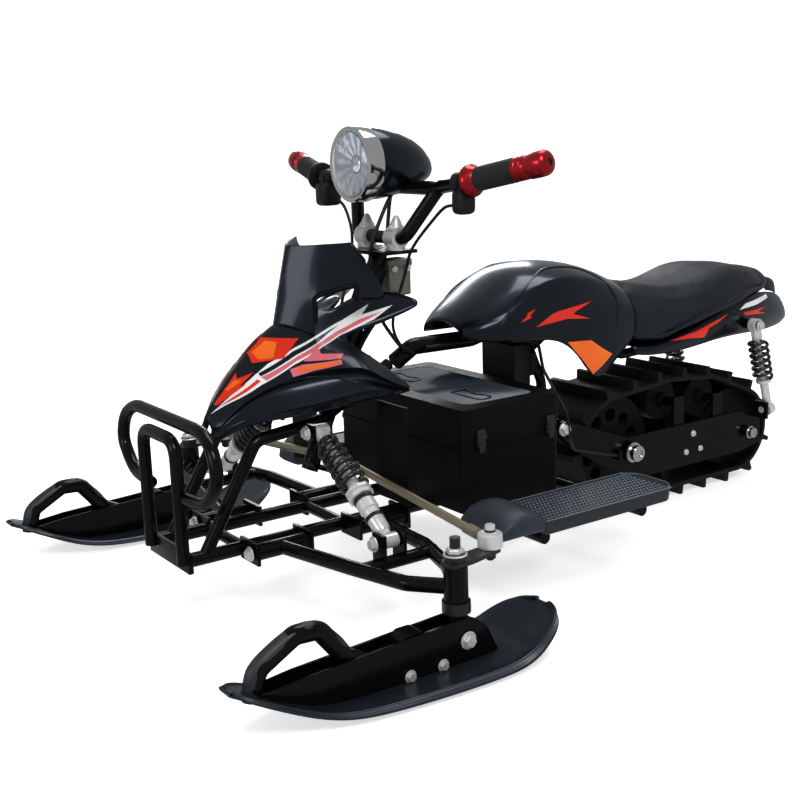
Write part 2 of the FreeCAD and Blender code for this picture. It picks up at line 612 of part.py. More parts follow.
# ---------------------------------------------------------------- steering
def steeringColumn():
    """Raked column, level top plate, and the pitman plate with its two studs."""
    rear = "pitmanReach"
    pieces = [rakedRod("columnTube", "-columnLong", "columnLong - 2", "columnTube/2"),
              box("topPlate", (-52, 52), ("headY - 32", "headY + 38"), ("headZ - 4", "headZ + 2")),
              rakedBox("pitman", ("-pitmanStud - 11", "pitmanStud + 11"), ("-columnTube/2", f"{rear} + 12"), ("6 - columnLong", "12 - columnLong"))]
    for number, across in enumerate(("-pitmanStud", "pitmanStud")):
        pieces.append(rakedRod(f"pitmanStud{number}", "6 - columnLong", "wideEyeLift + wideEyeThick", "studPin/2", across, rear))
    return label(fuse("columnPieces", pieces), "steering_column")


barY = "headY + 3"
barZ = "headZ + riserTall - 14"


def handlebar():
    """Swept bar with two bends a side and a cross brace."""
    half = [("66", barY, barZ), ("118", "headY + 36", "headZ + 102"), ("204", "headY + 22", "headZ + 112"),
            ("barSpan/2", "headY + 55", "headZ + 141")]
    points = [(f"-({x})", y, z) for x, y, z in reversed(half)] + half
    bar = tube("bar", points, "frameBend", "barTube/2")
    brace = rod("brace", "X", (-118, "headY + 34", "headZ + 100"), 236, "barTube/2")
    return label(fuse("barPieces", [bar, brace]), "handlebar")


def risers():
    """Two clamp blocks on the top plate, bored for the bar."""
    blocks = [box(f"riser{side}", (low, high), ("headY - 14", "headY + 20"), ("headZ + 2", "headZ + riserTall"))
              for side, low, high in (("Left", 28, 50), ("Right", -50, -28))]
    bore = rod("barBore", "X", (-60, barY, barZ), 120, "barTube/2")
    return label(cut("riserBored", fuse("riserBlocks", blocks), bore), "riser_clamps")


def grips():
    """Ribbed grips over the ends of the bar, each with a flange and a cap."""
    start = ("204", "headY + 22", "headZ + 112")
    end = ("barSpan/2", "headY + 55", "headZ + 141")
    reach = Vector(*[size(v) for v in end]) - Vector(*[size(v) for v in start])
    long = reach.Length
    pieces = [rod("gripTube", "Z", (0, 0, 18), long - 18, "gripTube/2"),
              rod("gripFlange", "Z", (0, 0, 14), 6, "gripTube/2 + 8"),
              rod("gripCap", "Z", (0, 0, long - 18), 18.4, "gripTube/2 + 2")]
    whole = cut("gripBored", fuse("gripPieces", pieces), rod("gripBore", "Z", (0, 0, -1), long + 1, "barTube/2"))
    whole.Placement = Placement(Vector(*[size(v) for v in start]), Rotation(Vector(0, 0, 1), reach))
    return pair(whole, "grip")


def headlight():
    """A teardrop housing on the bar, with its lens in front."""
    profile = [  # distance behind the ring, radius as a share of the ring's
        (0, 0.96), (6, 1.0), (26, 1.0), (30, 0.95), (62, 0.91), (94, 0.78), (120, 0.6), (140, 0.38), (150, 0.18)]
    body = doc.addObject("PartDesign::Body", "lampBody")
    corners = [("lampY", "lampZ + 1")]
    corners += [(f"lampY + {back}", f"lampZ + lampRing/2*{share}") for back, share in profile]
    corners += [("lampY + 153", "lampZ + 1")]
    sketch = outline(body, "lampProfile", "YZ_Plane", corners)
    turned = body.newObject("PartDesign::Revolution", "lampTurn")
    turned.Profile = sketch
    axis = body.newObject("PartDesign::Line", "lampAxis")
    axis.AttachmentSupport = None
    axis.Placement = Placement(Vector(0, 0, size("lampZ + 1")), Rotation(Vector(0, 0, 1), Vector(0, 1, 0)))
    turned.ReferenceAxis = (axis, [""])
    turned.Angle = 360
    doc.recompute()
    lens = rod("lens", "Y", (0, "lampY - 6", "lampZ + 1"), 6, "lampRing/2 - 6")
    foot = box("lampFoot", (-20, 20), ("headY + 14", "headY + 54"), ("headZ + 88", "lampZ - 20"))
    brace = rod("braceHole", "X", (-118, "headY + 34", "headZ + 100"), 236, "barTube/2")
    shell = cut("lampTrim", fuse("lampPieces", [body, foot]), brace)
    label(shell, "headlight_shell")
    return label(lens, "headlight_lens")


def barControls():
    """Clamp rings on the bar: a switch box hangs from the left one, a throttle housing from the right one."""
    pieces = []
    for out, wide, low in ((1, 11, 74), (-1, 14, 70)):
        at = 187 * out
        pieces.append(rod(f"clampRing{out + 1}", "X", (at - wide, "headY + 25", "headZ + 110"), 2 * wide, "barTube/2 + 7"))
        pieces.append(box(f"clampBox{out + 1}", (at - wide - 2, at + wide + 2), ("headY + 8", "headY + 38"),
                          (f"headZ + {low}", "headZ + 102")))
    whole = fuse("controlPieces", pieces)
    return label(cut("controlBored", whole, parts["handlebar"]), "bar_controls")


# ---------------------------------------------------------------- track and swing arm
def trackCircles():
    """Centre (y, z) and outer belt radius of every wheel the belt runs over, clockwise from the drive wheel."""
    ground = size("lugTall")
    drive, tail, idler = size("driveRadius"), size("tailWheelRadius"), size("idlerRadius")
    return [(size("driveY"), ground + drive, drive), (368, 190, idler), (478, 180, idler),
            (size("tailWheelY"), ground + tail, tail)]


def beltLoop(inset):
    """The belt's path as a list of (kind, data) runs and arcs, inset from its outer face."""
    circles = [(y, z, radius - inset) for y, z, radius in trackCircles()]
    tangents = []
    for (y1, z1, r1), (y2, z2, r2) in zip(circles, circles[1:] + circles[:1]):
        along = Vector(y2 - y1, z2 - z1, 0)
        span = along.Length
        along.normalize()
        lean = (r1 - r2) / span
        out = Vector(-along.y, along.x, 0) * math.sqrt(1 - lean * lean) + along * lean
        tangents.append((Vector(y1, z1, 0) + out * r1, Vector(y2, z2, 0) + out * r2, out))
    steps = []
    for index, (y, z, radius) in enumerate(circles):
        before, here = tangents[index - 1], tangents[index]
        turn = (math.atan2(before[2].y, before[2].x) - math.atan2(here[2].y, here[2].x)) % (2 * math.pi)
        steps.append(("arc", Vector(y, z, 0), radius, math.atan2(before[2].y, before[2].x), turn))
        steps.append(("run", here[0], here[1], here[2], (here[1] - here[0]).Length))
    return steps


def beltFace(inset):
    """The closed loop of the belt as a flat face in the YZ plane."""
    edges = []
    for step in beltLoop(inset):
        if step[0] == "arc":
            _, centre, radius, start, turn = step
            spots = [centre + Vector(math.cos(start - turn * part), math.sin(start - turn * part), 0) * radius
                     for part in (0, 0.5, 1)]
            edges.append(Part.Arc(*[Vector(0, p.x, p.y) for p in spots]).toShape())
        else:
            edges.append(Part.LineSegment(Vector(0, step[1].x, step[1].y), Vector(0, step[2].x, step[2].y)).toShape())
    return Part.Face(Part.Wire(Part.__sortEdges__(edges)))


def beltSpots(pitch):
    """Evenly spaced places on the belt's outer face, each with its outward direction."""
    steps = beltLoop(0)
    lengths = [step[2] * step[4] if step[0] == "arc" else step[4] for step in steps]
    count = round(sum(lengths) / pitch)
    spots = []
    for number in range(count):
        left = sum(lengths) * (number + 0.5) / count
        for step, long in zip(steps, lengths):
            if left <= long:
                break
            left -= long
        if step[0] == "arc":
            angle = step[3] - left / step[2]
            out = Vector(math.cos(angle), math.sin(angle), 0)
            spots.append((step[1] + out * step[2], out))
        else:
            spots.append((step[1] + (step[2] - step[1]) * (left / long), step[3]))
    return spots


def crossBar(spot, out, depth, reach, foot, crown, half):
    """A tapered bar across the belt at one spot, from a depth below its face to a reach along the outward line."""
    along = Vector(-out.y, out.x, 0)
    corners = [spot + out * depth - along * foot / 2, spot + out * depth + along * foot / 2,
               spot + out * reach + along * crown / 2, spot + out * reach - along * crown / 2]
    points = [Vector(-half, point.x, point.y) for point in corners]
    return Part.Face(Part.makePolygon(points + points[:1])).extrude(Vector(2 * half, 0, 0))


def track():
    """One rubber loop: the belt, tapered lugs across its outside and guide lugs along its inside."""
    half, belt = size("trackWide/2"), size("beltThick")
    ring = beltFace(0).cut(beltFace(belt))
    loop = ring.extrude(Vector(2 * half, 0, 0))
    loop.translate(Vector(-half, 0, 0))
    thick = size("lugThick")
    lugs = []
    for spot, out in beltSpots(size("lugPitch")):
        lugs.append(crossBar(spot, out, -belt / 4, size("lugTall"), thick, thick * 0.7, half))
        lugs.append(crossBar(spot, out, -belt * 0.75, -belt - size("guideTall"), size("guideFoot"),
                             size("guideFoot/2"), size("guideWide/2")))
    return label(shaped("trackLoop", loop.multiFuse(lugs).removeSplitter()), "track")


def trackWheels():
    """Split tail and idler wheels, and a caged drive wheel whose bars fall between the guide lugs."""
    circles = trackCircles()
    inset = size("beltThick + wheelFit")
    names = ("drive", "idlerA", "idlerB", "tail")
    slot = "guideWide/2 + 6"
    made = {}
    for name, (y, z, radius) in zip(names, circles):
        pieces = [rod(f"{name}Wheel{number}", "X", (low, y, z), "wheelHalf", radius - inset)
                  for number, low in enumerate((f"-({slot}) - wheelHalf", slot))]
        pieces.append(rod(f"{name}Hub", "X", (-60, y, z), 120, 24 if radius > 60 else 14))
        bores = [rod(name + "Bore", "X", (-100, y, z), 200, "axlePin/2")]
        if name == "drive":
            centre = Vector(y, z, 0)
            lugs = [out for spot, out in beltSpots(size("lugPitch")) if abs((spot - centre).Length - radius) < 0.01]
            step = lugs[0].getAngle(lugs[1])
            for number in range(int(2 * math.pi / step)):
                turn = math.atan2(lugs[0].y, lugs[0].x) - (number + 0.5) * step
                ahead = (math.cos(turn), math.sin(turn))
                at = [y + ahead[0] * (radius - inset - 8), z + ahead[1] * (radius - inset - 8)]
                pieces.append(rod(f"driveBar{number}", "X", (f"-({slot})", *at), f"2*({slot})", 5))
                at = [y + ahead[0] * radius * 0.56, z + ahead[1] * radius * 0.56]
                bores.append(rod(f"driveWindow{number}", "X", (-100, *at), 200, 13))
        made[name] = cut(name + "Turned", fuse(name + "Pieces", pieces), fuse(name + "Bores", bores))
    label(made["drive"], "drive_wheel")
    others = doc.addObject("Part::Compound", "otherWheels")
    others.Links = [made[name] for name in names[1:]]
    label(others, "track_wheels")


def swingArm():
    """Two side plates hung from the frame, with the axles that carry the track."""
    circles = trackCircles()
    low, high = "tailWheelY - 330", "tailWheelY + 3"
    corners = [("railEndY - 18", "armPivotHeight + 10", 14), ("railEndY + 10", "armPivotHeight + 12", 14),
               ("driveY - 8", 149), ("tailWheelY + 38", 149, 6), ("tailWheelY + 42", 76, 6),
               ("tailWheelY - 14", 66), ("driveY - 2", 66, 8), ("railEndY - 14", "armPivotHeight - 18", 12)]
    plates = [padded(f"armPlate{side}", "YZ_Plane", corners, near, far)
              for side, near, far in (("Left", "armWide/2 - armPlate", "armWide/2"),
                                      ("Right", "-armWide/2", "armPlate - armWide/2"))]
    pieces = list(plates)
    for number, (y, z, radius) in enumerate(circles):
        if z > 149:
            pieces.append(rod(f"axle{number}", "X", ("armPlate - armWide/2", y, z), "armWide - 2*armPlate", "axlePin/2"))
            for side, out in (("Left", 1), ("Right", -1)):
                near, far = ("armWide/2 - armPlate - 8", "armWide/2 - armPlate") if out > 0 else \
                    ("armPlate - armWide/2", "armPlate - armWide/2 + 8")
                pieces.append(box(f"hanger{number}{side}", (near, far), (y - 14, y + 14), (110, z + 14)))
        else:
            pieces.append(rod(f"axle{number}", "X", ("-armWide/2 - 10", y, z), "armWide + 20", "axlePin/2"))
    pieces.append(rod("armPivotPin", "X", ("-armWide/2 - 8", "railEndY", "armPivotHeight"), "armWide + 16", 8))
    for side, low, high in (("Left", "armWide/2 - armPlate", "armWide/2 + 28"), ("Right", "-armWide/2 - 28", "armPlate - armWide/2")):
        pieces.append(box(f"shockLug{side}", (low, high), ("tailWheelY + 24", "tailWheelY + 30"), (130, 164)))
    pieces.append(box("cableStop", ("armWide/2 - 2", "armWide/2 + 10"), ("driveY - 37", "driveY - 29"),
                      ("armPivotHeight - 82", "armPivotHeight - 64")))
    return label(fuse("armPieces", pieces), "swing_arm")


hemDrop = 60  # how far the hollow of a shell runs below its hem


# ---------------------------------------------------------------- battery, controls and boards
def roundedBox(name, inset, low, high, radius):
    """An upright box with rounded corners, set in from the battery box's outline."""
    half = f"(boxWide/2 - ({inset}))"
    front, back = f"boxFrontY + ({inset})", f"boxBackY - ({inset})"
    return padded(name, "XY_Plane", [(f"-{half}", front, radius), (half, front, radius),
                                     (half, back, radius), (f"-{half}", back, radius)], low, high)


def batteryBox():
    """A box with a rim, a lift-off lid, four latches and the battery pack inside."""
    floor = "railZ + railTube/2"
    tub = fuse("boxPieces", [roundedBox("boxOuter", 2, floor, "lidLow", 12),
                             roundedBox("boxRim", 0, "lidLow - 27", "lidLow - 20", 14)])
    label(cut("boxShell", tub, roundedBox("boxInner", "boxWall + 2", f"{floor} + boxWall", "lidLow + 1", 8)), "battery_box")
    lid = cut("lidShell", roundedBox("lidOuter", 0, "lidLow", "boxTop", 14),
              roundedBox("lidInner", "boxWall", "lidLow - 1", "boxTop - boxWall", 10))
    label(cut("lidDished", lid, roundedBox("lidDish", 30, "boxTop - 1.5", "boxTop + 1", 20)), "battery_lid")
    label(roundedBox("pack", "boxWall + 6", f"{floor} + boxWall", "lidLow - 10", 6), "battery_pack")
    half = "boxWide/2"
    latches = []
    for side, out in (("Left", 1), ("Right", -1)):
        near, far = (half, f"{half} + 6") if out > 0 else (f"-{half} - 6", f"-{half}")
        for number, y in enumerate(("boxFrontY + 22", "boxBackY - 40")):
            latches.append(box(f"latch{side}{number}", (near, far), (y, f"{y} + 22"), ("lidLow - 40", "lidLow + 8")))
    group = doc.addObject("Part::Compound", "latches")
    group.Links = latches
    label(group, "box_latches")


def controller():
    """The motor controller on its plate between the seat stays."""
    case = box("controllerCase", (-45, 45), ("railEndY - 60", "railEndY - 24"), ("upperZ - 7", "upperZ + 67"))
    return label(case, "controller")


def brakeCable():
    """The brake cable from the spine down to the stop on the swing arm."""
    side = "spineTube/2 + 4.2"
    cable = tube("cable", [(side, "headY + 73", "upperZ + 84"), (side, -45, "upperZ + 83"),
                           (62, "railEndY - 20", "upperZ + 72"), (64, "railEndY - 10", "upperZ + 22"),
                           ("armWide/2 + 14", "railEndY", "armPivotHeight + 30"),
                           ("armWide/2 + 14", "railEndY + 6", "armPivotHeight - 16"),
                           ("armWide/2 + 5", "railEndY + 26", "armPivotHeight - 43"),
                           ("armWide/2 + 5", "driveY - 78", "armPivotHeight - 62"),
                           ("armWide/2 + 5", "driveY - 38", "armPivotHeight - 73")], 14, "cableWide/2")
    return label(cable, "brake_cable")


def footboard():
    """A tread board with a rounded tail and a raised toe cap."""
    top = "boardZ + boardThick"
    board = padded("board", "XY_Plane", [("boardIn", "boardFrontY - 30", 14), ("boardOut", "boardFrontY - 30", 14),
                                         ("boardOut", "boardBackY", 40), ("boardIn + 26", "boardBackY", 26),
                                         ("boardIn", "boardBackY - 60", 30)], "boardZ", top)
    toe = padded("toe", "YZ_Plane", [("toeY", "boardZ", 8), ("boardFrontY + 4", "boardZ"), ("boardFrontY + 4", top),
                                     ("boardFrontY - 26", "toeZ", 12), ("toeY", "toeZ - 22", 12)],
                 "boardIn + 8", "boardOut - 8")
    return pair(fuse("boardPieces", [board, toe]), "footboard")


def splash():
    """Two guards between the front suspension and the battery box."""
    left = box("splashLeft", (96, 176), ("boxFrontY - 102", "boxFrontY - 98"), (150, 306))
    group = doc.addObject("Part::Compound", "splashes")
    group.Links = [left, mirror("splashRight", left)]
    return label(group, "splash_panels")


# ---------------------------------------------------------------- bodywork
def hood(rows, wall, ruled=True):
    """An open-bottomed shell through half sections, each a list of (x, z) from the ridge to the hem."""
    def solid(inset, drop):
        sections = []
        for y, half in rows:
            points = [(max(x - inset, 0.5) if x else 0, z - (inset if index < len(half) - 1 else drop))
                      for index, (x, z) in enumerate(half)]
            right = [(-x, z) for x, z in reversed(points) if x]
            sections.append([(x, y, z) for x, z in right + points])
        return loft(sections, ruled)
    return solid(0, 0).cut(solid(wall, hemDrop)) if wall else solid(0, 0)


def blade(rows):
    """A wing through stations of (y, inner x, inner z, outer x, outer z, thickness)."""
    return loft([[(nearX, y, nearZ), (farX, y, farZ), (farX - 2, y, farZ - thick), (nearX, y, nearZ - thick)]
                 for y, nearX, nearZ, farX, farZ, thick in rows])


def noseSolid(wall):
    """A beaked shield that forks into an upper and a lower wing on each side, hollow if it has a wall."""
    rows = [  # y, half section: ridge, shoulder, stripe, lip, recess, lower edge, hem
        (-569, [(0, 312), (5, 306), (9, 300), (24, 285), (21, 281), (27, 277), (24, 266)]),
        (-540, [(0, 349), (10, 341), (23, 331), (46, 320), (40, 312), (56, 301), (52, 288)]),
        (-505, [(0, 387), (16, 377), (38, 362), (66, 345), (58, 332), (86, 312), (80, 298)]),
        (-460, [(0, 426), (22, 411), (54, 389), (92, 363), (82, 345), (112, 319), (104, 303)]),
        (-410, [(0, 446), (28, 433), (61, 411), (116, 372), (106, 352), (132, 328), (122, 311)]),
        (-366, [(0, 457), (30, 441), (62, 410), (130, 370), (120, 352), (141, 336), (132, 318)]),
    ]
    shell = hood(rows, wall)
    upper = blade([(-368, 16, 451, 64, 409, 9), (-330, 26, 462, 78, 417, 9), (-295, 38, 470, 90, 428, 8),
                   (-262, 62, 468, 101, 441, 6), (-242, 88, 458, 107, 450, 3)])
    lower = blade([(-368, 64, 408, 133, 366, 10), (-352, 86, 393, 141, 356, 10), (-332, 112, 374, 150, 344, 9),
                   (-312, 138, 350, 156, 334, 6), (-298, 150, 334, 156, 329, 3)])
    keel = blade([(-368, 118, 350, 141, 335, 16), (-340, 124, 344, 149, 334, 12), (-312, 140, 338, 155, 331, 6)])
    wings = [upper, lower, keel] + [wing.mirror(Vector(), Vector(1, 0, 0)) for wing in (upper, lower, keel)]
    return shell.multiFuse(wings)


def noseFairing():
    """The nose as a shell."""
    return label(shaped("nose", noseSolid(size("skin"))), "nose_fairing")


def windscreen():
    """A screen astride the nose: a flat front, angled sides with an opening in each, and rear edges."""
    wall = size("skin")
    rows = [  # z, y of the front, y of the angled sides' back, y of the rear edge
        (386, -414, -334, -312), (440, -402, -344, -318), (500, -394, -356, -330), (540, -389, -368, -342),
        (554, -384, -366, -344)]
    sections = []
    for z, front, side, rear in rows:
        face = [(-99, rear, z), (-93, side, z), (-52, front, z), (52, front, z), (93, side, z), (99, rear, z)]
        back = [(99 - wall, rear, z), (93 - wall, side + wall / 2, z), (52 - wall / 2, front + wall, z)]
        sections.append(face + back + [(-x, y, z) for x, y, z in reversed(back)])
    window = [(55, 400), (91, 400), (91, 478), (86, 486), (55, 467)]
    openings = [Part.Face(Part.makePolygon([Vector(x * out, -430, z) for x, z in window + window[:1]]))
                .extrude(Vector(0, 130, 0)) for out in (1, -1)]
    return label(shaped("screen", loft(sections).cut(openings + [noseSolid(0)])), "windscreen")


def tankFairing():
    """The tank-shaped cover over the spine, with a knee panel hanging from each side."""
    rows = [  # y, half section: ridge, crown, shoulder, flank, hem
        (-122, [(0, 404), (30, 398), (48, 388), (54, 380), (50, 372)]),
        (-92, [(0, 424), (48, 416), (74, 402), (84, 386), (78, 366)]),
        (-45, [(0, 450), (60, 442), (94, 424), (102, 398), (96, 362)]),
        (5, [(0, 478), (62, 470), (98, 452), (108, 412), (102, 360)]),
        (80, [(0, 484), (64, 476), (100, 456), (110, 412), (104, 358)]),
        (150, [(0, 476), (58, 468), (92, 448), (106, 408), (102, 354)]),
        (205, [(0, 458), (48, 450), (80, 432), (100, 398), (98, 346)]),
        (248, [(0, 436), (42, 430), (70, 414), (92, 388), (92, 338)]),
    ]
    shell = hood(rows, size("skin"), ruled=False)
    knee = [(70, 366), (96, 338), (126, 280), (136, 267), (150, 276), (205, 318), (247, 340), (247, 372), (180, 384)]
    panels = []
    for x, lean in ((104, 4), (-104, -4)):
        low = Part.makePolygon([Vector(x + lean, y, z) for y, z in knee + knee[:1]])
        panels.append(Part.Face(low).extrude(Vector(-size("skin") * (1 if x > 0 else -1), 0, 0)))
    return label(shaped("tank", shell.multiFuse(panels)), "tank_fairing")


def saddle():
    """The padded seat: dished for the rider, rolled at its edges and raised at the tail."""
    rows = [  # y, half section: ridge, crown, edge roll, side, hem
        (250.5, [(0, 434), (40, 430), (66, 414), (80, 382), (84, 330)]),
        (300, [(0, 419), (56, 417), (84, 402), (98, 372), (96, 322)]),
        (360, [(0, 409), (66, 408), (96, 394), (108, 368), (101, 326)]),
        (420, [(0, 413), (70, 411), (100, 398), (111, 374), (103, 342)]),
        (490, [(0, 431), (70, 427), (99, 412), (109, 390), (100, 358)]),
        (560, [(0, 432), (64, 428), (92, 414), (103, 396), (93, 374)]),
        (625, [(0, 420), (50, 416), (76, 404), (86, 391), (78, 378)]),
        (672, [(0, 404), (26, 402), (44, 396), (52, 389), (48, 382)])]
    return label(shaped("seat", hood(rows, 0, ruled=False)), "saddle")


def tailFairing():
    """The cover below the seat: side cowls, a drawn-out tail and the lip behind the seat."""
    rows = [  # y, half section: deck, rim, cowl, hem
        (256, [(0, 320), (60, 320), (76, 316), (80, 310), (78, 298)]),
        (300, [(0, 312), (66, 312), (84, 309), (92, 304), (86, 292)]),
        (380, [(0, 319), (74, 319), (92, 315), (100, 307), (92, 291)]),
        (470, [(0, 341), (74, 341), (92, 338), (101, 330), (90, 302)]),
        (560, [(0, 364), (68, 364), (86, 362), (98, 346), (84, 304)]),
        (640, [(0, 370), (48, 370), (66, 370), (84, 342), (66, 297)]),
        (700, [(0, 368), (34, 366), (48, 358), (62, 332), (46, 296)]),
        (742, [(0, 346), (22, 344), (32, 336), (42, 319), (30, 297)]),
        (766, [(0, 314), (10, 313), (16, 310), (20, 306), (16, 299)])]
    shell = hood(rows, size("skin"))
    lip = loft([[(-46, 676, 374), (46, 676, 374), (46, 686, 404), (-46, 686, 404)],
                [(-34, 704, 366), (34, 704, 366), (34, 704, 396), (-34, 704, 396)],
                [(-24, 724, 358), (24, 724, 358), (24, 712, 386), (-24, 712, 386)]])
    hole = Part.makeCylinder(size("railTube/2 - 1"), 300, Vector(-150, size("tailWheelY - 3"), size("upperZ + 47")),
                             Vector(1, 0, 0))
    return label(shaped("tail", shell.multiFuse([lip]).cut(hole)), "tail_fairing")


makers = [tubeFrame, spineAndSeatFrame, frontBumper, steeringBracket, frontArm, dampers, kingpin, tieRod, ski,
          skiBracket, steeringColumn, handlebar, risers, grips, headlight, barControls, track, trackWheels, swingArm,
          batteryBox, controller, brakeCable, footboard, splash, noseFairing, windscreen, tankFairing, saddle, tailFairing]
for maker in makers:
    maker()
doc.recompute()

# ---------------------------------------------------------------- check and write
for thing in doc.Objects:
    if {"Invalid", "Error"} & set(thing.State):
        raise RuntimeError(f"{thing.Name} did not build: {thing.State}")
os.makedirs("parts", exist_ok=True)
for name, part in parts.items():
    if part.Shape.isNull() or not part.Shape.isValid() or not part.Shape.Solids:
        raise RuntimeError(f"{name} is not a sound solid")
    part.Shape.exportStep(f"parts/{name}.step")
whole = Part.makeCompound([part.Shape for part in parts.values()]).BoundBox
print(f"{len(parts)} sub-parts, {whole.XLength:.0f} x {whole.YLength:.0f} x {whole.ZLength:.0f} mm")
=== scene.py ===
import math

import bmesh
import bpy
from mathutils import Matrix, Vector
from mathutils.bvhtree import BVHTree


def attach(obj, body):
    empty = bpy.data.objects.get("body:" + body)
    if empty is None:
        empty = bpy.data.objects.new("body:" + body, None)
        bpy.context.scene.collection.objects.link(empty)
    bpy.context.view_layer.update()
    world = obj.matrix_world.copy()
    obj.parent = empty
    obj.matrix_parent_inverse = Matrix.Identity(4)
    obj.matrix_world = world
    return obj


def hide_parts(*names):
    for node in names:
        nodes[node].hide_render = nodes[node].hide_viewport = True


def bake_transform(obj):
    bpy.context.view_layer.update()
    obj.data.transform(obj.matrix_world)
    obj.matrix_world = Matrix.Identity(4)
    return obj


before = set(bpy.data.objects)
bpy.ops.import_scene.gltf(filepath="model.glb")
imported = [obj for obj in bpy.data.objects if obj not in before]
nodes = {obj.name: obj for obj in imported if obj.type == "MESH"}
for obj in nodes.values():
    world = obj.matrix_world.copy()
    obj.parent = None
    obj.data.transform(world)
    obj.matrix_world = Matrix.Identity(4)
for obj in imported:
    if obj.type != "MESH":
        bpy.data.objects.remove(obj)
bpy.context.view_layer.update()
print("frame loaded:", len(nodes), "nodes")

camera = {
    "spot": (1.6477, -1.3467, 0.7256),
    "azimuth": 55.47, "elevation": 12.773, "roll": -1.87,
    "lens": 54.545, "sensor": 36, "near": 0.05, "far": 60,
}
lights = {  # name: (spot, aimed at, width, height, watts)
    "key": ((2.4, -1.4, 3.0), (0.0, -0.1, 0.3), 1.6, 1.0, 52),
    "front": ((0.2, -3.6, 1.3), (0.0, -0.2, 0.3), 1.6, 0.9, 18),
    "top": ((-0.6, 0.9, 3.4), (0.0, 0.1, 0.3), 1.8, 1.4, 44),
    "rear": ((-2.8, 1.6, 1.6), (0.0, 0.0, 0.35), 1.4, 0.9, 26),
}
skyStrength = 0.36


def placed(name, data):
    thing = bpy.data.objects.new(name, data)
    bpy.context.scene.collection.objects.link(thing)
    return thing


def setInputs(node, values):
    for inlet, value in values.items():
        node.inputs[inlet].default_value = value


def placeCamera():
    data = bpy.data.cameras.new("camera")
    data.lens = camera["lens"]
    data.sensor_width = camera["sensor"]
    data.clip_start = camera["near"]
    data.clip_end = camera["far"]
    thing = placed("camera", data)
    turn = math.radians(camera["azimuth"])
    lift = math.radians(camera["elevation"])
    back = Vector((math.sin(turn) * math.cos(lift), -math.cos(turn) * math.cos(lift), math.sin(lift)))
    level = (-back).to_track_quat("-Z", "Y")
    thing.location = camera["spot"]
    thing.rotation_mode = "QUATERNION"
    thing.rotation_quaternion = level @ Matrix.Rotation(math.radians(camera["roll"]), 3, "Z").to_quaternion()
    bpy.context.scene.camera = thing


def placeLights():
    for name, (spot, target, wide, high, watts) in lights.items():
        data = bpy.data.lights.new(name, "AREA")
        data.shape = "RECTANGLE"
        data.size = wide
        data.size_y = high
        data.energy = watts
        thing = placed(name, data)
        thing.location = spot
        thing.rotation_mode = "QUATERNION"
        thing.rotation_quaternion = (Vector(target) - thing.location).to_track_quat("-Z", "Y")
    world = bpy.data.worlds.new("studio")
    bpy.context.scene.world = world
    world.use_nodes = True
    setInputs(world.node_tree.nodes["Background"], {"Color": (1, 1, 1, 1), "Strength": skyStrength})


placeCamera()
placeLights()
bpy.context.scene.view_settings.view_transform = "Standard"
print("camera and lights ready")


def surface(colour, second, rough, grain, depth, **others):  # a finish, with what most of them share
    return {"colour": colour, "second": second, "rough": rough, "grain": grain, "depth": depth, "metal": 0.0,
            "coat": 0.0, "shine": 0.5, "tint": (1, 1, 1), "clear": 0.0, "glow": 0.0, **others}


def paint(colour, second, grain=80):
    return surface(colour, second, (0.25, 0.35), grain, 0.00002, coat=0.2, shine=0.2)


def pale(glow):
    return surface((0.93, 0.93, 0.935), (0.95, 0.95, 0.955), (0.7, 0.8), 12, 0.0001, shine=0.1, glow=glow)


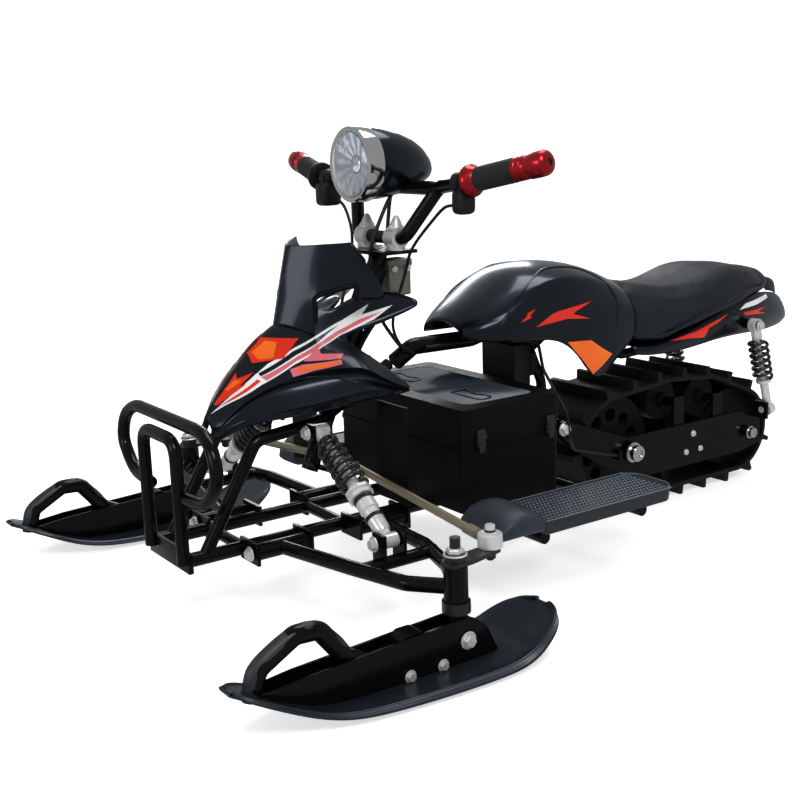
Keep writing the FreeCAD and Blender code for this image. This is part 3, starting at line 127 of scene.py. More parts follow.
# colour and second colour, low and high roughness, size and depth of the grain, then what is special
finishes = {
    "frameBlack": surface((0.0015, 0.0015, 0.0018), (0.003, 0.003, 0.0035), (0.14, 0.24), 420, 0.00012,
        coat=0.1, shine=0.12),
    # the bluish tint of glossBlack, skiPlastic and seatVinyl colours their reflections: painted reflection
    # colour standing in for bluish light
    "glossBlack": surface((0.0016, 0.002, 0.003), (0.003, 0.0036, 0.005), (0.2, 0.3), 60, 0.00008, coat=0.3,
        shine=0.26, tint=(0.62, 0.8, 1.0)),
    "skiPlastic": surface((0.008, 0.0095, 0.0125), (0.014, 0.016, 0.021), (0.3, 0.42), 260, 0.0002,
        coat=0.15, shine=0.4, tint=(0.7, 0.85, 1.0)),
    "boxPlastic": surface((0.002, 0.002, 0.0022), (0.004, 0.004, 0.0044), (0.4, 0.52), 900, 0.00035,
        shine=0.1),
    "packPlastic": surface((0.05, 0.05, 0.055), (0.07, 0.07, 0.075), (0.5, 0.6), 300, 0.0001),
    "boardPlastic": surface((0.009, 0.012, 0.016), (0.018, 0.022, 0.028), (0.4, 0.52), 700, 0.0003,
        shine=0.45),
    "controlPlastic": surface((0.004, 0.004, 0.004), (0.009, 0.009, 0.009), (0.35, 0.5), 800, 0.0002,
        shine=0.2),
    "wheelPlastic": surface((0.005, 0.005, 0.005), (0.01, 0.01, 0.01), (0.4, 0.55), 500, 0.0002, shine=0.1),
    "seatVinyl": surface((0.006, 0.007, 0.009), (0.011, 0.012, 0.016), (0.36, 0.48), 750, 0.0006,
        shine=0.35, tint=(0.7, 0.85, 1.0)),
    "trackRubber": surface((0.006, 0.0055, 0.005), (0.014, 0.012, 0.0105), (0.5, 0.68), 480, 0.0005,
        shine=0.12),
    "gripRubber": surface((0.006, 0.006, 0.006), (0.013, 0.013, 0.013), (0.5, 0.65), 900, 0.0003,
        shine=0.3),
    "shockAlloy": surface((0.62, 0.63, 0.65), (0.76, 0.77, 0.79), (0.25, 0.36), 300, 0.0001, metal=0.45),
    "clampAlloy": surface((0.5, 0.5, 0.51), (0.62, 0.62, 0.63), (0.3, 0.42), 260, 0.0001, metal=0.5),
    "controllerAlloy": surface((0.012, 0.012, 0.013), (0.025, 0.025, 0.027), (0.35, 0.5), 500, 0.0002,
        metal=0.8),
    "springBlack": surface((0.003, 0.003, 0.0035), (0.008, 0.008, 0.009), (0.15, 0.25), 300, 0.0001,
        coat=0.5, shine=0.4),
    "rodZinc": surface((0.24, 0.21, 0.15), (0.36, 0.32, 0.23), (0.25, 0.42), 350, 0.0001, metal=0.6),
    "kingpinPaint": surface((0.004, 0.004, 0.0045), (0.01, 0.01, 0.01), (0.3, 0.45), 400, 0.0002, coat=0.3,
        shine=0.35),
    "redAnodised": surface((0.42, 0.006, 0.011), (0.55, 0.02, 0.03), (0.2, 0.32), 300, 0.00005, metal=1.0,
        coat=0.3),
    "castGrey": surface((0.16, 0.15, 0.13), (0.24, 0.225, 0.2), (0.4, 0.55), 300, 0.0002, metal=0.6),
    "loopRubber": surface((0.012, 0.0135, 0.017), (0.02, 0.022, 0.027), (0.42, 0.55), 600, 0.0002,
        shine=0.45),
    "studPlastic": surface((0.09, 0.125, 0.17), (0.13, 0.17, 0.23), (0.3, 0.42), 500, 0.0001),
    "guardPlastic": surface((0.013, 0.02, 0.03), (0.02, 0.03, 0.042), (0.42, 0.55), 700, 0.0002,
        shine=0.45),
    # lidPaintedSheen: bluish grey on the lid ribs, a painted sheen standing in for light reflected off the
    # black lid
    "lidPaintedSheen": surface((0.03, 0.04, 0.055), (0.05, 0.065, 0.085), (0.3, 0.4), 500, 0.0001),
    "latchPlastic": surface((0.006, 0.006, 0.0065), (0.012, 0.012, 0.013), (0.3, 0.4), 500, 0.0001),
    "chrome": surface((0.62, 0.62, 0.63), (0.7, 0.7, 0.71), (0.08, 0.14), 60, 0.00003, metal=1.0),
    "boltZinc": surface((0.62, 0.62, 0.61), (0.76, 0.76, 0.74), (0.2, 0.34), 500, 0.0001, metal=0.6),
    "decalRed": paint((0.62, 0.014, 0.004), (0.72, 0.03, 0.006)),
    "decalOrange": paint((0.8, 0.07, 0.006), (0.9, 0.2, 0.012), 260),
    "decalPink": paint((0.6, 0.1, 0.13), (0.7, 0.17, 0.2)),
    "decalWhite": paint((0.78, 0.78, 0.8), (0.86, 0.86, 0.88)),
    "cableBlack": surface((0.004, 0.004, 0.004), (0.01, 0.01, 0.01), (0.35, 0.5), 600, 0.0001, shine=0.3),
    "lampBowl": surface((0.5, 0.52, 0.55), (0.62, 0.64, 0.67), (0.1, 0.2), 120, 0.0006, metal=1.0),
    # lampFacetPaintedDark: a darker, bluer copy of the reflector metal, painted dark reflection on every
    # other fan blade
    "lampFacetPaintedDark": surface((0.1, 0.125, 0.16), (0.24, 0.28, 0.34), (0.15, 0.3), 300, 0.0004, metal=0.4,
        coat=0.3),
    "lampGlass": surface((0.86, 0.9, 0.95), (0.92, 0.95, 1.0), (0.02, 0.05), 90, 0.0001, clear=0.9),
    "skinFloor": pale(0.6),
    "surround": pale(1.0),
}
mottle = {"coarser": 18, "low": 0.3, "high": 0.7, "coatRough": 0.1}  # shared by all the finishes
made = {}


def addNode(tree, kind, inputs, **values):
    node = tree.nodes.new(kind)
    for key, value in values.items():
        setattr(node, key, value)
    setInputs(node, inputs)
    return node


def makeFinish(name):
    if name in made:
        return made[name]
    recipe = finishes[name]
    material = bpy.data.materials.new(name)
    material.use_nodes = True
    tree = material.node_tree
    shader = tree.nodes["Principled BSDF"]
    # tone colours the coat and the reflections; where it is bluish it is painted reflection colour, standing
    # in for bluish light
    tone = (*recipe["tint"], 1)
    setInputs(shader, {
        "Metallic": recipe["metal"], "Coat Weight": recipe["coat"], "Coat Roughness": mottle["coatRough"],
        "Coat Tint": tone,
        "Transmission Weight": recipe["clear"], "Specular IOR Level": recipe["shine"], "Specular Tint": tone,
        "Emission Color": (1, 1, 1, 1), "Emission Strength": recipe["glow"]})
    low, high = recipe["rough"]
    colours = {"A": (*recipe["colour"], 1), "B": (*recipe["second"], 1)}
    where = addNode(tree, "ShaderNodeTexCoord", {})
    broad = addNode(tree, "ShaderNodeTexNoise", {"Scale": recipe["grain"] / mottle["coarser"], "Detail": 6})
    fine = addNode(tree, "ShaderNodeTexNoise", {"Scale": recipe["grain"], "Detail": 2})
    mix = addNode(tree, "ShaderNodeMix", colours, data_type="RGBA")
    spread = {"From Min": mottle["low"], "From Max": mottle["high"], "To Min": low, "To Max": high}
    polish = addNode(tree, "ShaderNodeMapRange", spread)
    bump = addNode(tree, "ShaderNodeBump", {"Strength": 1.0, "Distance": recipe["depth"]})
    for source, outlet, target, inlet in (
            (where, "Object", broad, "Vector"), (where, "Object", fine, "Vector"),
            (broad, "Fac", mix, "Factor"), (broad, "Fac", polish, "Value"), (fine, "Fac", bump, "Height"),
            (mix, "Result", shader, "Base Color"), (polish, "Result", shader, "Roughness"),
            (bump, "Normal", shader, "Normal")):
        tree.links.new(source.outputs[outlet], target.inputs[inlet])
    made[name] = material
    return material


nodeFinishes = {
    "frameBlack": ["main_frame", "seat_frame", "bumper", "left_a_arm", "right_a_arm", "swing_arm",
                   "handlebar", "left_ski_bracket", "right_ski_bracket", "steering_bracket",
                   "steering_column"],
    "glossBlack": ["nose_fairing", "windscreen", "tank_fairing", "tail_fairing", "headlight_shell"],
    "skiPlastic": ["left_ski", "right_ski"],
    "boxPlastic": ["battery_box", "battery_lid", "box_latches", "splash_panels"],
    "packPlastic": ["battery_pack"],
    "boardPlastic": ["left_footboard", "right_footboard"],
    "controlPlastic": ["bar_controls"],
    "wheelPlastic": ["drive_wheel", "track_wheels"],
    "seatVinyl": ["saddle"],
    "trackRubber": ["track"],
    "gripRubber": ["left_grip", "right_grip"],
    "shockAlloy": ["left_front_shock", "right_front_shock", "rear_shocks"],
    "clampAlloy": ["riser_clamps"],
    "controllerAlloy": ["controller"],
    "springBlack": ["front_springs", "rear_springs"],
    "cableBlack": ["brake_cable"],
    "rodZinc": ["left_tie_rod", "right_tie_rod"],
    "kingpinPaint": ["left_kingpin", "right_kingpin"],
    "chrome": ["headlight_lens"],
}


def dressNodes():
    for name, members in nodeFinishes.items():
        for member in members:
            thing = nodes[member]
            thing.data.materials.clear()
            thing.data.materials.append(makeFinish(name))


dressNodes()
print("nodes dressed")

milli = 0.001
joinGap, markGap = 0.0004, 0.0006  # metres: points this near are joined, or lie on a crease or the middle
aside, ahead, above = (1, 0, 0), (0, -1, 0), (0, 0, 1)  # directions that pieces point in


def meshPiece(name, mesh, finish, body="chassis", sharp=38):
    thing = placed(name, mesh)
    mesh.materials.append(makeFinish(finish))
    mesh.shade_smooth()
    mesh.set_sharp_from_angle(angle=math.radians(sharp))
    if body:
        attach(thing, body)
    return thing


def formPiece(name, forms, finish, body="chassis", sharp=38):  # a form is (points, faces) in mm
    points, faces = [], []
    for formPoints, formFaces in forms:
        first = len(points)
        points += [[value * milli for value in point] for point in formPoints]
        faces += [[first + index for index in face] for face in formFaces]
    mesh = bpy.data.meshes.new(name)
    mesh.from_pydata(points, [], faces)
    form = bmesh.new()
    form.from_mesh(mesh)
    bmesh.ops.recalc_face_normals(form, faces=form.faces)
    form.to_mesh(mesh)
    form.free()
    mesh.update()
    return meshPiece(name, mesh, finish, body, sharp)


def flipped(forms):  # the same forms on the other side
    return [([(-x, y, z) for x, y, z in points], [list(reversed(face)) for face in faces])
            for points, faces in forms]


def bothSides(forms):
    return forms + flipped(forms)


def onSide(forms, side):
    return forms if side == "left" else flipped(forms)


def ringFaces(rows, around, closed=False, near=True, far=True):  # walls between rings of points, and the ends
    faces = []
    for row in range(rows if closed else rows - 1):
        here, over = row * around, (row + 1) % rows * around
        for step in range(around):
            after = (step + 1) % around
            faces.append([here + step, here + after, over + after, over + step])
    if near:
        faces.append(list(reversed(range(around))))
    if far:
        faces.append(list(range((rows - 1) * around, rows * around)))
    return faces


def turned(profile, start, ahead, around=32, drop=None, near=True, far=True):  # rows: (along, radius)
    ahead = Vector(ahead).normalized()
    across = ahead.orthogonal().normalized()
    up = ahead.cross(across)
    points = []
    for row, (along, radius) in enumerate(profile):
        middle = Vector(start) + ahead * along + Vector((0, 0, drop[row] if drop else 0))
        for step in range(around):
            turn = 2 * math.pi * step / around
            points.append(tuple(middle + (across * math.cos(turn) + up * math.sin(turn)) * radius))
    return points, ringFaces(len(profile), around, near=near, far=far)


def smoothRoute(points, steps):  # a rounded line through the points
    spots = [Vector(point) for point in points]
    ends = [spots[0] * 2 - spots[1]] + spots + [spots[-1] * 2 - spots[-2]]
    line = []
    for a, b, c, d in zip(ends, ends[1:], ends[2:], ends[3:]):
        for step in range(steps):
            t = step / steps
            line.append(0.5 * (b * 2 + (c - a) * t + (a * 2 - b * 5 + c * 4 - d) * t * t
                               + (b * 3 - a - c * 3 + d) * t ** 3))
    return line + [spots[-1]]


def roundedRoute(points, bend, steps=7):  # straight runs joined by arcs
    spots = [Vector(point) for point in points]
    line = [spots[0]]
    for before, here, after in zip(spots, spots[1:], spots[2:]):
        reach = min(bend, (before - here).length * 0.45, (after - here).length * 0.45)
        a, b = here + (before - here).normalized() * reach, here + (after - here).normalized() * reach
        shares = [step / steps for step in range(steps + 1)]
        line += [a.lerp(here, share).lerp(here.lerp(b, share), share) for share in shares]
    return line + [spots[-1]]


def piped(points, radius, around=10, steps=6, closed=False):
    line = smoothRoute(points, steps)
    if closed and (line[0] - line[-1]).length < 0.01:
        line = line[:-1]
    count = len(line)
    turns = [2 * math.pi * step / around for step in range(around)]
    ring, side = [], None
    for index, spot in enumerate(line):
        before = line[index - 1] if index or closed else spot
        after = line[(index + 1) % count] if index < count - 1 or closed else spot
        ahead = (after - before).normalized()
        side = (ahead.orthogonal() if side is None else side - ahead * side.dot(ahead)).normalized()
        up = ahead.cross(side)
        ring += [tuple(spot + (side * math.cos(turn) + up * math.sin(turn)) * radius) for turn in turns]
    return ring, ringFaces(count, around, closed, near=not closed, far=not closed)


def ovalRow(y, low, high, foot, top, power=3.2, count=28):
    points = []
    for step in range(count):
        turn = 2 * math.pi * step / count
        c, n = math.cos(turn), math.sin(turn)
        points.append(((low + high) / 2 + (high - low) / 2 * math.copysign(abs(c) ** (2 / power), c), y,
                       (foot + top) / 2 + (top - foot) / 2 * math.copysign(abs(n) ** (2 / power), n)))
    return points


def loftOf(rows):
    return [point for row in rows for point in row], ringFaces(len(rows), len(rows[0]))


def block(low, high, soften):  # a block with softened edges
    form = bmesh.new()
    bmesh.ops.create_cube(form, size=1)
    for vert in form.verts:
        vert.co = [(start + end) / 2 + part * (end - start) for start, end, part in zip(low, high, vert.co)]
    bmesh.ops.bevel(form, geom=form.edges[:], offset=soften, segments=3, affect="EDGES", profile=0.5)
    form.verts.index_update()
    points = [tuple(vert.co) for vert in form.verts]
    faces = [[vert.index for vert in face.verts] for face in form.faces]
    form.free()
    return points, faces


def applyAll(thing):
    bpy.context.view_layer.update()
    seen = bpy.context.evaluated_depsgraph_get()
    mesh = bpy.data.meshes.new_from_object(thing.evaluated_get(seen))
    name = thing.data.name
    thing.modifiers.clear()
    thing.data = mesh
    mesh.name = name


def subdivide(piece, levels):
    rounding = piece.modifiers.new("round", "SUBSURF")
    rounding.levels = rounding.render_levels = levels


def upright(form, axis, side=1):  # turns an open sheet's faces so that most of them look along the axis
    bmesh.ops.recalc_face_normals(form, faces=form.faces[:])
    if sum(face.normal[axis] * face.calc_area() for face in form.faces) * side < 0:
        bmesh.ops.reverse_faces(form, faces=form.faces[:])


def patchwork(name, grids, finish, wall, creases=(), mirrored=True, holes=(), body="chassis"):
    form = bmesh.new()
    for rows in grids:
        laid = [[form.verts.new([value * milli for value in point]) for point in row] for row in rows]
        for low, high in zip(laid, laid[1:]):
            for corners in zip(low, low[1:], high[1:], high):
                middle = sum((corner.co for corner in corners), Vector()) / 4 / milli
                if not any(all(least <= value <= most for value, least, most in zip(middle, lowest, highest))
                           for lowest, highest in holes):
                    form.faces.new(corners)
    bmesh.ops.remove_doubles(form, verts=form.verts[:], dist=joinGap)
    upright(form, 2)
    layer = form.edges.layers.float.new("crease_edge")
    for strength, line in creases:
        marks = [Vector(point) * milli for point in line]
        for edge in form.edges:
            if all(any((vert.co - mark).length < markGap for mark in marks) for vert in edge.verts):
                edge[layer] = strength
    mesh = bpy.data.meshes.new(name)
    form.to_mesh(mesh)
    form.free()
    piece = meshPiece(name, mesh, finish, body, sharp=60)
    if mirrored:
        piece.modifiers.new("twin", "MIRROR").merge_threshold = markGap
    subdivide(piece, 2)
    thick = piece.modifiers.new("wall", "SOLIDIFY")
    thick.thickness = wall * milli
    thick.offset = -1
    return piece


nose = {
    "rows": [  # y, half section: ridge, shoulder, stripe, mid, lip, two points of the recess, lower edge, hem
        (-573, [(0, 306), (4, 302), (7, 297), (13, 290), (19, 282), (16, 280), (16, 278), (21, 274),
                (19, 266)]),
        (-566, [(0, 317), (6, 311), (11, 303), (19, 295), (26, 286), (22, 284), (21, 281), (29, 277),
                (26, 266)]),
        (-540, [(0, 349), (11, 341), (23, 331), (36, 326), (47, 320), (42, 315), (41, 310), (56, 301),
                (52, 289)]),
        (-505, [(0, 387), (18, 378), (38, 364), (54, 356), (67, 345), (60, 339), (58, 332), (86, 312),
                (80, 299)]),
        (-460, [(0, 427), (26, 413), (54, 391), (75, 379), (93, 363), (84, 356), (82, 346), (112, 319),
                (104, 304)]),
        (-410, [(0, 448), (31, 435), (61, 412), (92, 394), (117, 372), (107, 363), (106, 353), (132, 329),
                (123, 312)]),
        (-366, [(0, 458), (33, 442), (62, 410), (99, 392), (131, 370), (121, 361), (120, 352), (141, 336),
                (133, 318)]),
    ],
    "upper": [  # y, inner and outer edge
        (-330, (32, 461), (78, 418)), (-295, (42, 469), (90, 429)), (-262, (64, 468), (101, 442)),
        (-243, (92, 458), (106, 450))],
    "lower": [
        (-350, [(88, 391), (114, 376), (142, 357), (131, 352), (130, 347), (147, 334), (140, 320)]),
        (-330, [(114, 372), (132, 360), (150, 344), (140, 341), (139, 338), (152, 331), (146, 321)]),
        (-312, [(138, 350), (147, 344), (155, 335), (148, 333), (147, 332), (155, 328), (150, 323)]),
        (-300, [(150, 337), (152, 334), (155, 331), (152, 330), (152, 329), (155, 327), (152, 325)])],
    "crown": [(-345, [(0, 462), (24, 455)]), (-330, [(0, 464), (14, 461)])],
    "wall": 3.5,
}
screen = {
    "columns": [  # upright lines from the middle outwards, (x, y, z) at the foot, window head, mid and top
        [(0, -447, 428), (0, -436, 472), (0, -428, 512), (0, -418, 550)],
        [(26, -436, 428), (25, -426, 472), (24, -416, 512), (24, -407, 550)],
        [(50, -414, 416), (49, -408, 468), (46, -399, 512), (45, -391, 551)],
        [(57, -407, 412), (56, -402, 472), (54, -391, 513), (54, -383, 552)],
        [(76, -380, 404), (76, -380, 482), (73, -370, 517), (72, -366, 553)],
        [(88, -348, 408), (91, -352, 487), (87, -350, 521), (84, -354, 554)],
        [(86, -325, 420), (94, -326, 486), (94, -334, 520), (88, -353, 549)],
        [(80, -300, 436), (92, -298, 470), (95, -322, 510), (92, -346, 536)]],
    # each row: the stretch of the columns it lies in, and how far up it; then the columns beside the window
    "levels": [(0, 0.0), (0, 0.35), (0, 0.7), (0, 1.0), (1, 0.2), (2, 0.0), (2, 0.85), (2, 1.0)],
    "window": (3, 5), "windowRows": 4, "wall": 4, "rim": 4.2,
}
tank = {
    "rows": [  # y, half section: ridge, crown, shoulder crease, flank, knee, hem
        (-123, [(0, 400), (26, 396), (44, 388), (50, 383), (52, 378), (50, 372)]),
        (-98, [(0, 418), (42, 411), (70, 397), (80, 389), (82, 378), (80, 366)]),
        (-48, [(0, 444), (58, 438), (96, 416), (104, 400), (103, 382), (99, 362)]),
        (5, [(0, 477), (64, 470), (99, 449), (109, 416), (108, 388), (104, 360)]),
        (50, [(0, 485), (66, 477), (101, 459), (111, 417), (110, 388), (106, 356)]),
        (95, [(0, 485), (66, 477), (101, 458), (112, 414), (110, 374), (108, 328)]),
        (134, [(0, 480), (62, 471), (97, 452), (110, 408), (109, 344), (108, 266)]),
        (172, [(0, 470), (57, 462), (90, 443), (107, 402), (108, 350), (107, 288)]),
        (210, [(0, 456), (50, 448), (82, 430), (102, 396), (104, 358), (103, 316)]),
        (249, [(0, 437), (42, 431), (72, 415), (94, 388), (97, 366), (96, 338)])],
    "wall": 3.5,
}
tail = {
    "rows": [  # y, half section: deck, rim, cowl, hem
        (258, [(0, 318), (40, 318), (76, 316), (82, 310), (82, 304), (78, 297)]),
        (300, [(0, 310), (44, 310), (84, 309), (93, 304), (92, 298), (86, 291)]),
        (380, [(0, 317), (50, 317), (92, 324), (101, 318), (99, 306), (92, 291)]),
        (470, [(0, 339), (50, 339), (95, 352), (103, 342), (99, 324), (90, 302)]),
        (560, [(0, 362), (46, 362), (88, 374), (100, 358), (96, 330), (84, 302)]),
        (640, [(0, 370), (36, 370), (68, 378), (84, 352), (80, 322), (66, 296)]),
        (700, [(0, 366), (24, 366), (50, 366), (64, 342), (61, 318), (47, 295)]),
        (742, [(0, 348), (16, 348), (34, 345), (45, 328), (43, 312), (31, 295)]),
        (766, [(0, 318), (10, 318), (19, 315), (25, 309), (24, 303), (17, 297)])],
    "wall": 3.5, "lipWall": 3,
    "lipCorners": ((0.96, 4), (0.7, 0)),  # share of the half width, drop from the top
    "lip": [  # y, z of the top, z of the foot, half width
        (668, 394, 372, 48), (680, 400, 372, 47), (704, 396, 366, 42), (714, 388, 362, 38),
        (717, 372, 358, 34)],
}


def section(y, half):
    return [(x, y, z) for x, z in half]


def column(rows, index):
    return [(half[index][0], y, half[index][1]) for y, half in rows]


def halfway(a, b, lift):
    return (a[0] + b[0]) / 2, (a[1] + b[1]) / 2 + lift


def makeNose():
    rows, low = nose["rows"], nose["lower"]
    main = [section(y, half[:2] + [halfway(half[1], half[2], 1)] + half[2:]) for y, half in rows]
    last = main[-1]
    upper = [last[1:4]] + [section(y, [a, halfway(a, b, 2), b]) for y, a, b in nose["upper"]]
    lower = [last[3:]] + [section(y, half) for y, half in low]
    crown = [last[:2]] + [section(y, half) for y, half in nose["crown"]]
    creases = [(0.75, column(rows, 4) + column(low, 2)), (0.75, column(rows, 7) + column(low, 5)),
               (0.3, column(rows, 0))]
    piece = patchwork("nose_shield", [main, upper, lower, crown], "glossBlack", nose["wall"], creases)
    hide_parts("nose_fairing")
    return piece


def makeScreen():
    first, last = screen["window"]
    lines = [[Vector(point) for point in line] for line in screen["columns"]]
    centre = len(lines) - 1
    rows = []
    for low, share in screen["levels"]:
        half = [line[low].lerp(line[low + 1], share) for line in lines]
        rows.append([(-x, y, z) for x, y, z in reversed(half[1:])] + [tuple(point) for point in half])
    window = [row[centre + first:centre + last + 1] for row in rows[:screen["windowRows"]]]
    foot, head = lines[first][0], lines[last][1]
    top = (window[-1][0][2] + window[-1][-1][2]) / 2
    holes = [((low, foot.y - 60, foot.z - 30), (high, head.y + 60, top))
             for low, high in ((foot.x, head.x), (-head.x, -foot.x))]
    creases = [(0.8, rows[-1])] + [(0.8, [row[centre + index] for row in rows])
                                   for index in (-first, -last, 0, first, last)]
    piece = patchwork("screen", [rows], "glossBlack", screen["wall"], creases, mirrored=False, holes=holes)
    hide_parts("windscreen")
    ring = [row[0] for row in window[1:]] + window[-1][1:] + [window[-2][-1]]
    formPiece("screen_rims", bothSides([piped(ring, screen["rim"])]), "boxPlastic")


def makeTank():
    rows = [section(y, half) for y, half in tank["rows"]]
    creases = [(0.9, column(tank["rows"], 2)), (0.5, rows[-1]), (0.4, rows[0])]
    piece = patchwork("tank_cover", [rows], "glossBlack", tank["wall"], creases)
    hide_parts("tank_fairing")
    return piece


def makeTail():
    rows = [section(y, half) for y, half in tail["rows"]]
    creases = [(0.6, column(tail["rows"], 2)), (0.5, column(tail["rows"], 5))]
    lip = []
    for y, top, foot, half in tail["lip"]:
        side = [(half, y, foot)] + [(half * share, y, top - drop) for share, drop in tail["lipCorners"]]
        lip.append([(-x, y, z) for x, y, z in side] + [(0, y, top + 1)] + side[::-1])
    piece = patchwork("tail_cover", [rows], "glossBlack", tail["wall"], creases)
    patchwork("tail_lip", [lip], "glossBlack", tail["lipWall"], mirrored=False)
    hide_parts("tail_fairing")
    return piece


noseShield = makeNose()
makeScreen()
tankCover = makeTank()
tailCover = makeTail()
print("fairings made")

artwork = {
    "beads": {  # host: radius, line in side view (y, z)
        "tank": (3.2, [(-77, 378), (-64, 396), (-36, 427), (-10, 446), (35, 469), (58, 474), (96, 474),
                       (138, 467), (171, 449), (188, 430), (198, 408), (196, 384), (188, 361)]),
        "nose": (2.0, [(-480, 352), (-450, 358), (-420, 358), (-396, 352), (-376, 346)]),
    },
    "cell": 6, "sunk": 0.35, "lift": 0.8, "step": 0.35,  # a mark of a higher level lies a step further out
    "from": 0.5, "over": (0.002, 0.8),  # where the rays that lay the marks start, from aside and from above
    "marks": [  # host, finish, level, outline in side view (y, z)
        ("tank", "decalRed", 0, [(-2, 384), (33, 403), (45, 406), (126, 415), (88, 402), (79, 398),
            (121, 385), (66, 391)]),
        ("tank", "decalRed", 0, [(-34, 394), (-20, 405), (-19, 409), (-2, 415), (-14, 405), (-10, 402)]),
        ("tank", "decalOrange", 0, [(70, 349), (96, 348), (124, 346), (149, 330), (178, 314), (154, 297),
            (130, 284), (101, 317)]),
        ("tail", "decalRed", 0, [(542, 347), (574, 347), (625, 347), (595, 342), (627, 335), (549, 340)]),
        ("tail", "decalWhite", 0, [(531, 353), (554, 362), (643, 370), (643, 363), (589, 356)]),
        ("tail", "decalRed", 0, [(341, 314), (407, 326), (496, 349), (466, 336), (439, 328), (432, 311),
            (388, 315)]),
        ("nose", "decalWhite", 0, [(-568, 306), (-535, 337), (-504, 363), (-484, 378), (-443, 399),
            (-408, 412), (-353, 431), (-306, 452), (-324, 437), (-277, 449), (-311, 430), (-353, 414),
            (-406, 399), (-457, 377), (-505, 350), (-540, 326)]),
        ("nose", "decalPink", 1, [(-500, 360), (-448, 387), (-412, 402), (-356, 420), (-329, 431),
            (-294, 441), (-317, 431), (-359, 414), (-407, 400), (-453, 381), (-497, 356)]),
        ("nose", "glossBlack", 1, [(-500, 365), (-448, 394), (-412, 408), (-362, 424), (-410, 404),
            (-448, 389), (-500, 361)]),
        ("nose", "decalRed", 1, [(-559, 314), (-537, 332), (-505, 357), (-503, 355), (-538, 329)]),
        ("nose", "decalRed", 1, [(-472, 412), (-431, 411), (-464, 385), (-500, 378), (-497, 391)]),
        ("nose", "decalOrange", 2, [(-471, 408), (-460, 406), (-475, 385), (-492, 383), (-493, 392)]),
        ("nose", "decalRed", 2, [(-560, 320), (-521, 364), (-524, 356), (-504, 366), (-526, 346),
            (-518, 350), (-558, 318)]),
        ("nose", "decalOrange", 3, [(-542, 340), (-527, 354), (-520, 354), (-539, 339)]),
        ("nose", "decalPink", 1, [(-444, 381), (-413, 400), (-416, 390), (-384, 388), (-393, 382)]),
        ("nose", "decalPink", 1, [(-465, 371), (-447, 377), (-394, 381), (-396, 375), (-437, 369),
            (-466, 361)]),
        ("nose", "decalOrange", 2, [(-452, 374), (-399, 379), (-399, 376), (-457, 368)]),
    ],
}


def decal(name, finish, outline, host, side, lift):
    form = bmesh.new()
    form.faces.new([form.verts.new((0, y * milli, z * milli)) for y, z in outline])
    step = artwork["cell"] * milli
    for axis in (1, 2):
        low = min(vert.co[axis] for vert in form.verts)
        high = max(vert.co[axis] for vert in form.verts)
        for number in range(1, int((high - low) / step) + 1):
            spot, normal = [0, 0, 0], [0, 0, 0]
            spot[axis] = low + number * step
            normal[axis] = 1
            bmesh.ops.bisect_plane(form, geom=form.verts[:] + form.edges[:] + form.faces[:], plane_co=spot,
                                   plane_no=normal)
    bmesh.ops.triangulate(form, faces=form.faces[:])
    lost = []
    near, above = artwork["over"]
    for vert in form.verts:
        _, y, z = vert.co
        hit, normal, _, _ = host.ray_cast(Vector((artwork["from"] * side, y, z)), Vector((-side, 0, 0)))
        if hit is None:  # past the ridge: the mark ends on the ridge itself
            hit, normal, _, _ = host.ray_cast(Vector((near * side, y, above)), Vector((0, 0, -1)))
        if hit is None:
            lost.append(vert)
        else:
            vert.co = hit + normal * lift * milli
    bmesh.ops.delete(form, geom=lost, context="VERTS")
    upright(form, 0, side)
    mesh = bpy.data.meshes.new(name)
    form.to_mesh(mesh)
    form.free()
    meshPiece(name, mesh, finish, sharp=60)


def bead(name, line, host, radius):  # a raised line on the side of a cover, on both sides
    spots = []
    for y, z in line:
        hit, normal, _, _ = host.ray_cast(Vector((artwork["from"], y * milli, z * milli)), Vector((-1, 0, 0)))
        if hit is not None:
            spots.append(tuple(hit / milli - normal * radius * artwork["sunk"]))
    formPiece(name, bothSides([piped(spots, radius, steps=4)]), "glossBlack", sharp=80)


def layArtwork():
    bpy.context.view_layer.update()
    seen = bpy.context.evaluated_depsgraph_get()
    hosts = {name: BVHTree.FromObject(piece, seen)
             for name, piece in (("nose", noseShield), ("tank", tankCover), ("tail", tailCover))}
    for host, (radius, line) in artwork["beads"].items():
        bead(host + "_bead", line, hosts[host], radius)
    for number, (host, finish, level, outline) in enumerate(artwork["marks"]):
        for side, word in ((1, "left"), (-1, "right")):
            decal(f"{host}_mark_{number}_{word}", finish, outline, hosts[host], side,
                  artwork["lift"] + artwork["step"] * level)


layArtwork()
print("artwork laid")

lamp = {  # profiles of (distance back, radius)
    "front": (0, -291, 667),
    "bezel": [(-3, 50), (-5, 54), (-5.5, 57), (-3, 59.6), (2, 60), (20, 60), (24, 59), (25, 57), (22, 55)],
    "shell": [(22, 56), (26, 57.5), (50, 56), (78, 51), (104, 43), (126, 32), (142, 20), (150, 10), (153, 3)],
    "drop": [0, 0, 0, -1, -3, -6, -10, -13, -14],
    "bowl": [(2, 52), (8, 48), (18, 40), (27, 28), (32, 15), (33, 6)],
    "lens": [(-4, 51), (-8, 44), (-11, 32), (-13, 16), (-13.5, 0.3), (-11.5, 0.3), (-11, 16), (-9, 32),
             (-6, 44), (-2, 50.5), (-4, 51)],
    "blades": 13, "fan": (15, 50, 0.5, 9),  # inner and outer radius, depth at the rim and in the middle
    "facets": 15, "facetDepth": 5,
    "shade": [(6, 1), (6, 9), (8, 12), (14, 13.5), (20, 13)],
    "flutes": 18, "fluteDepth": 1.1, "fluteSpan": 50,
    "bulb": [(32, 5), (24, 6.5), (16, 7), (10, 5), (8, 1)],
    "foot": ((-19, -227, 618), (19, -191, 646)), "footSoft": 5,
    "around": {"shell": 56, "bezel": 64, "shade": 28, "bulb": 20, "lens": 96},
}


def lampForm(word, **others):
    return turned(lamp[word], lamp["front"], (0, 1, 0), lamp["around"][word], **others)


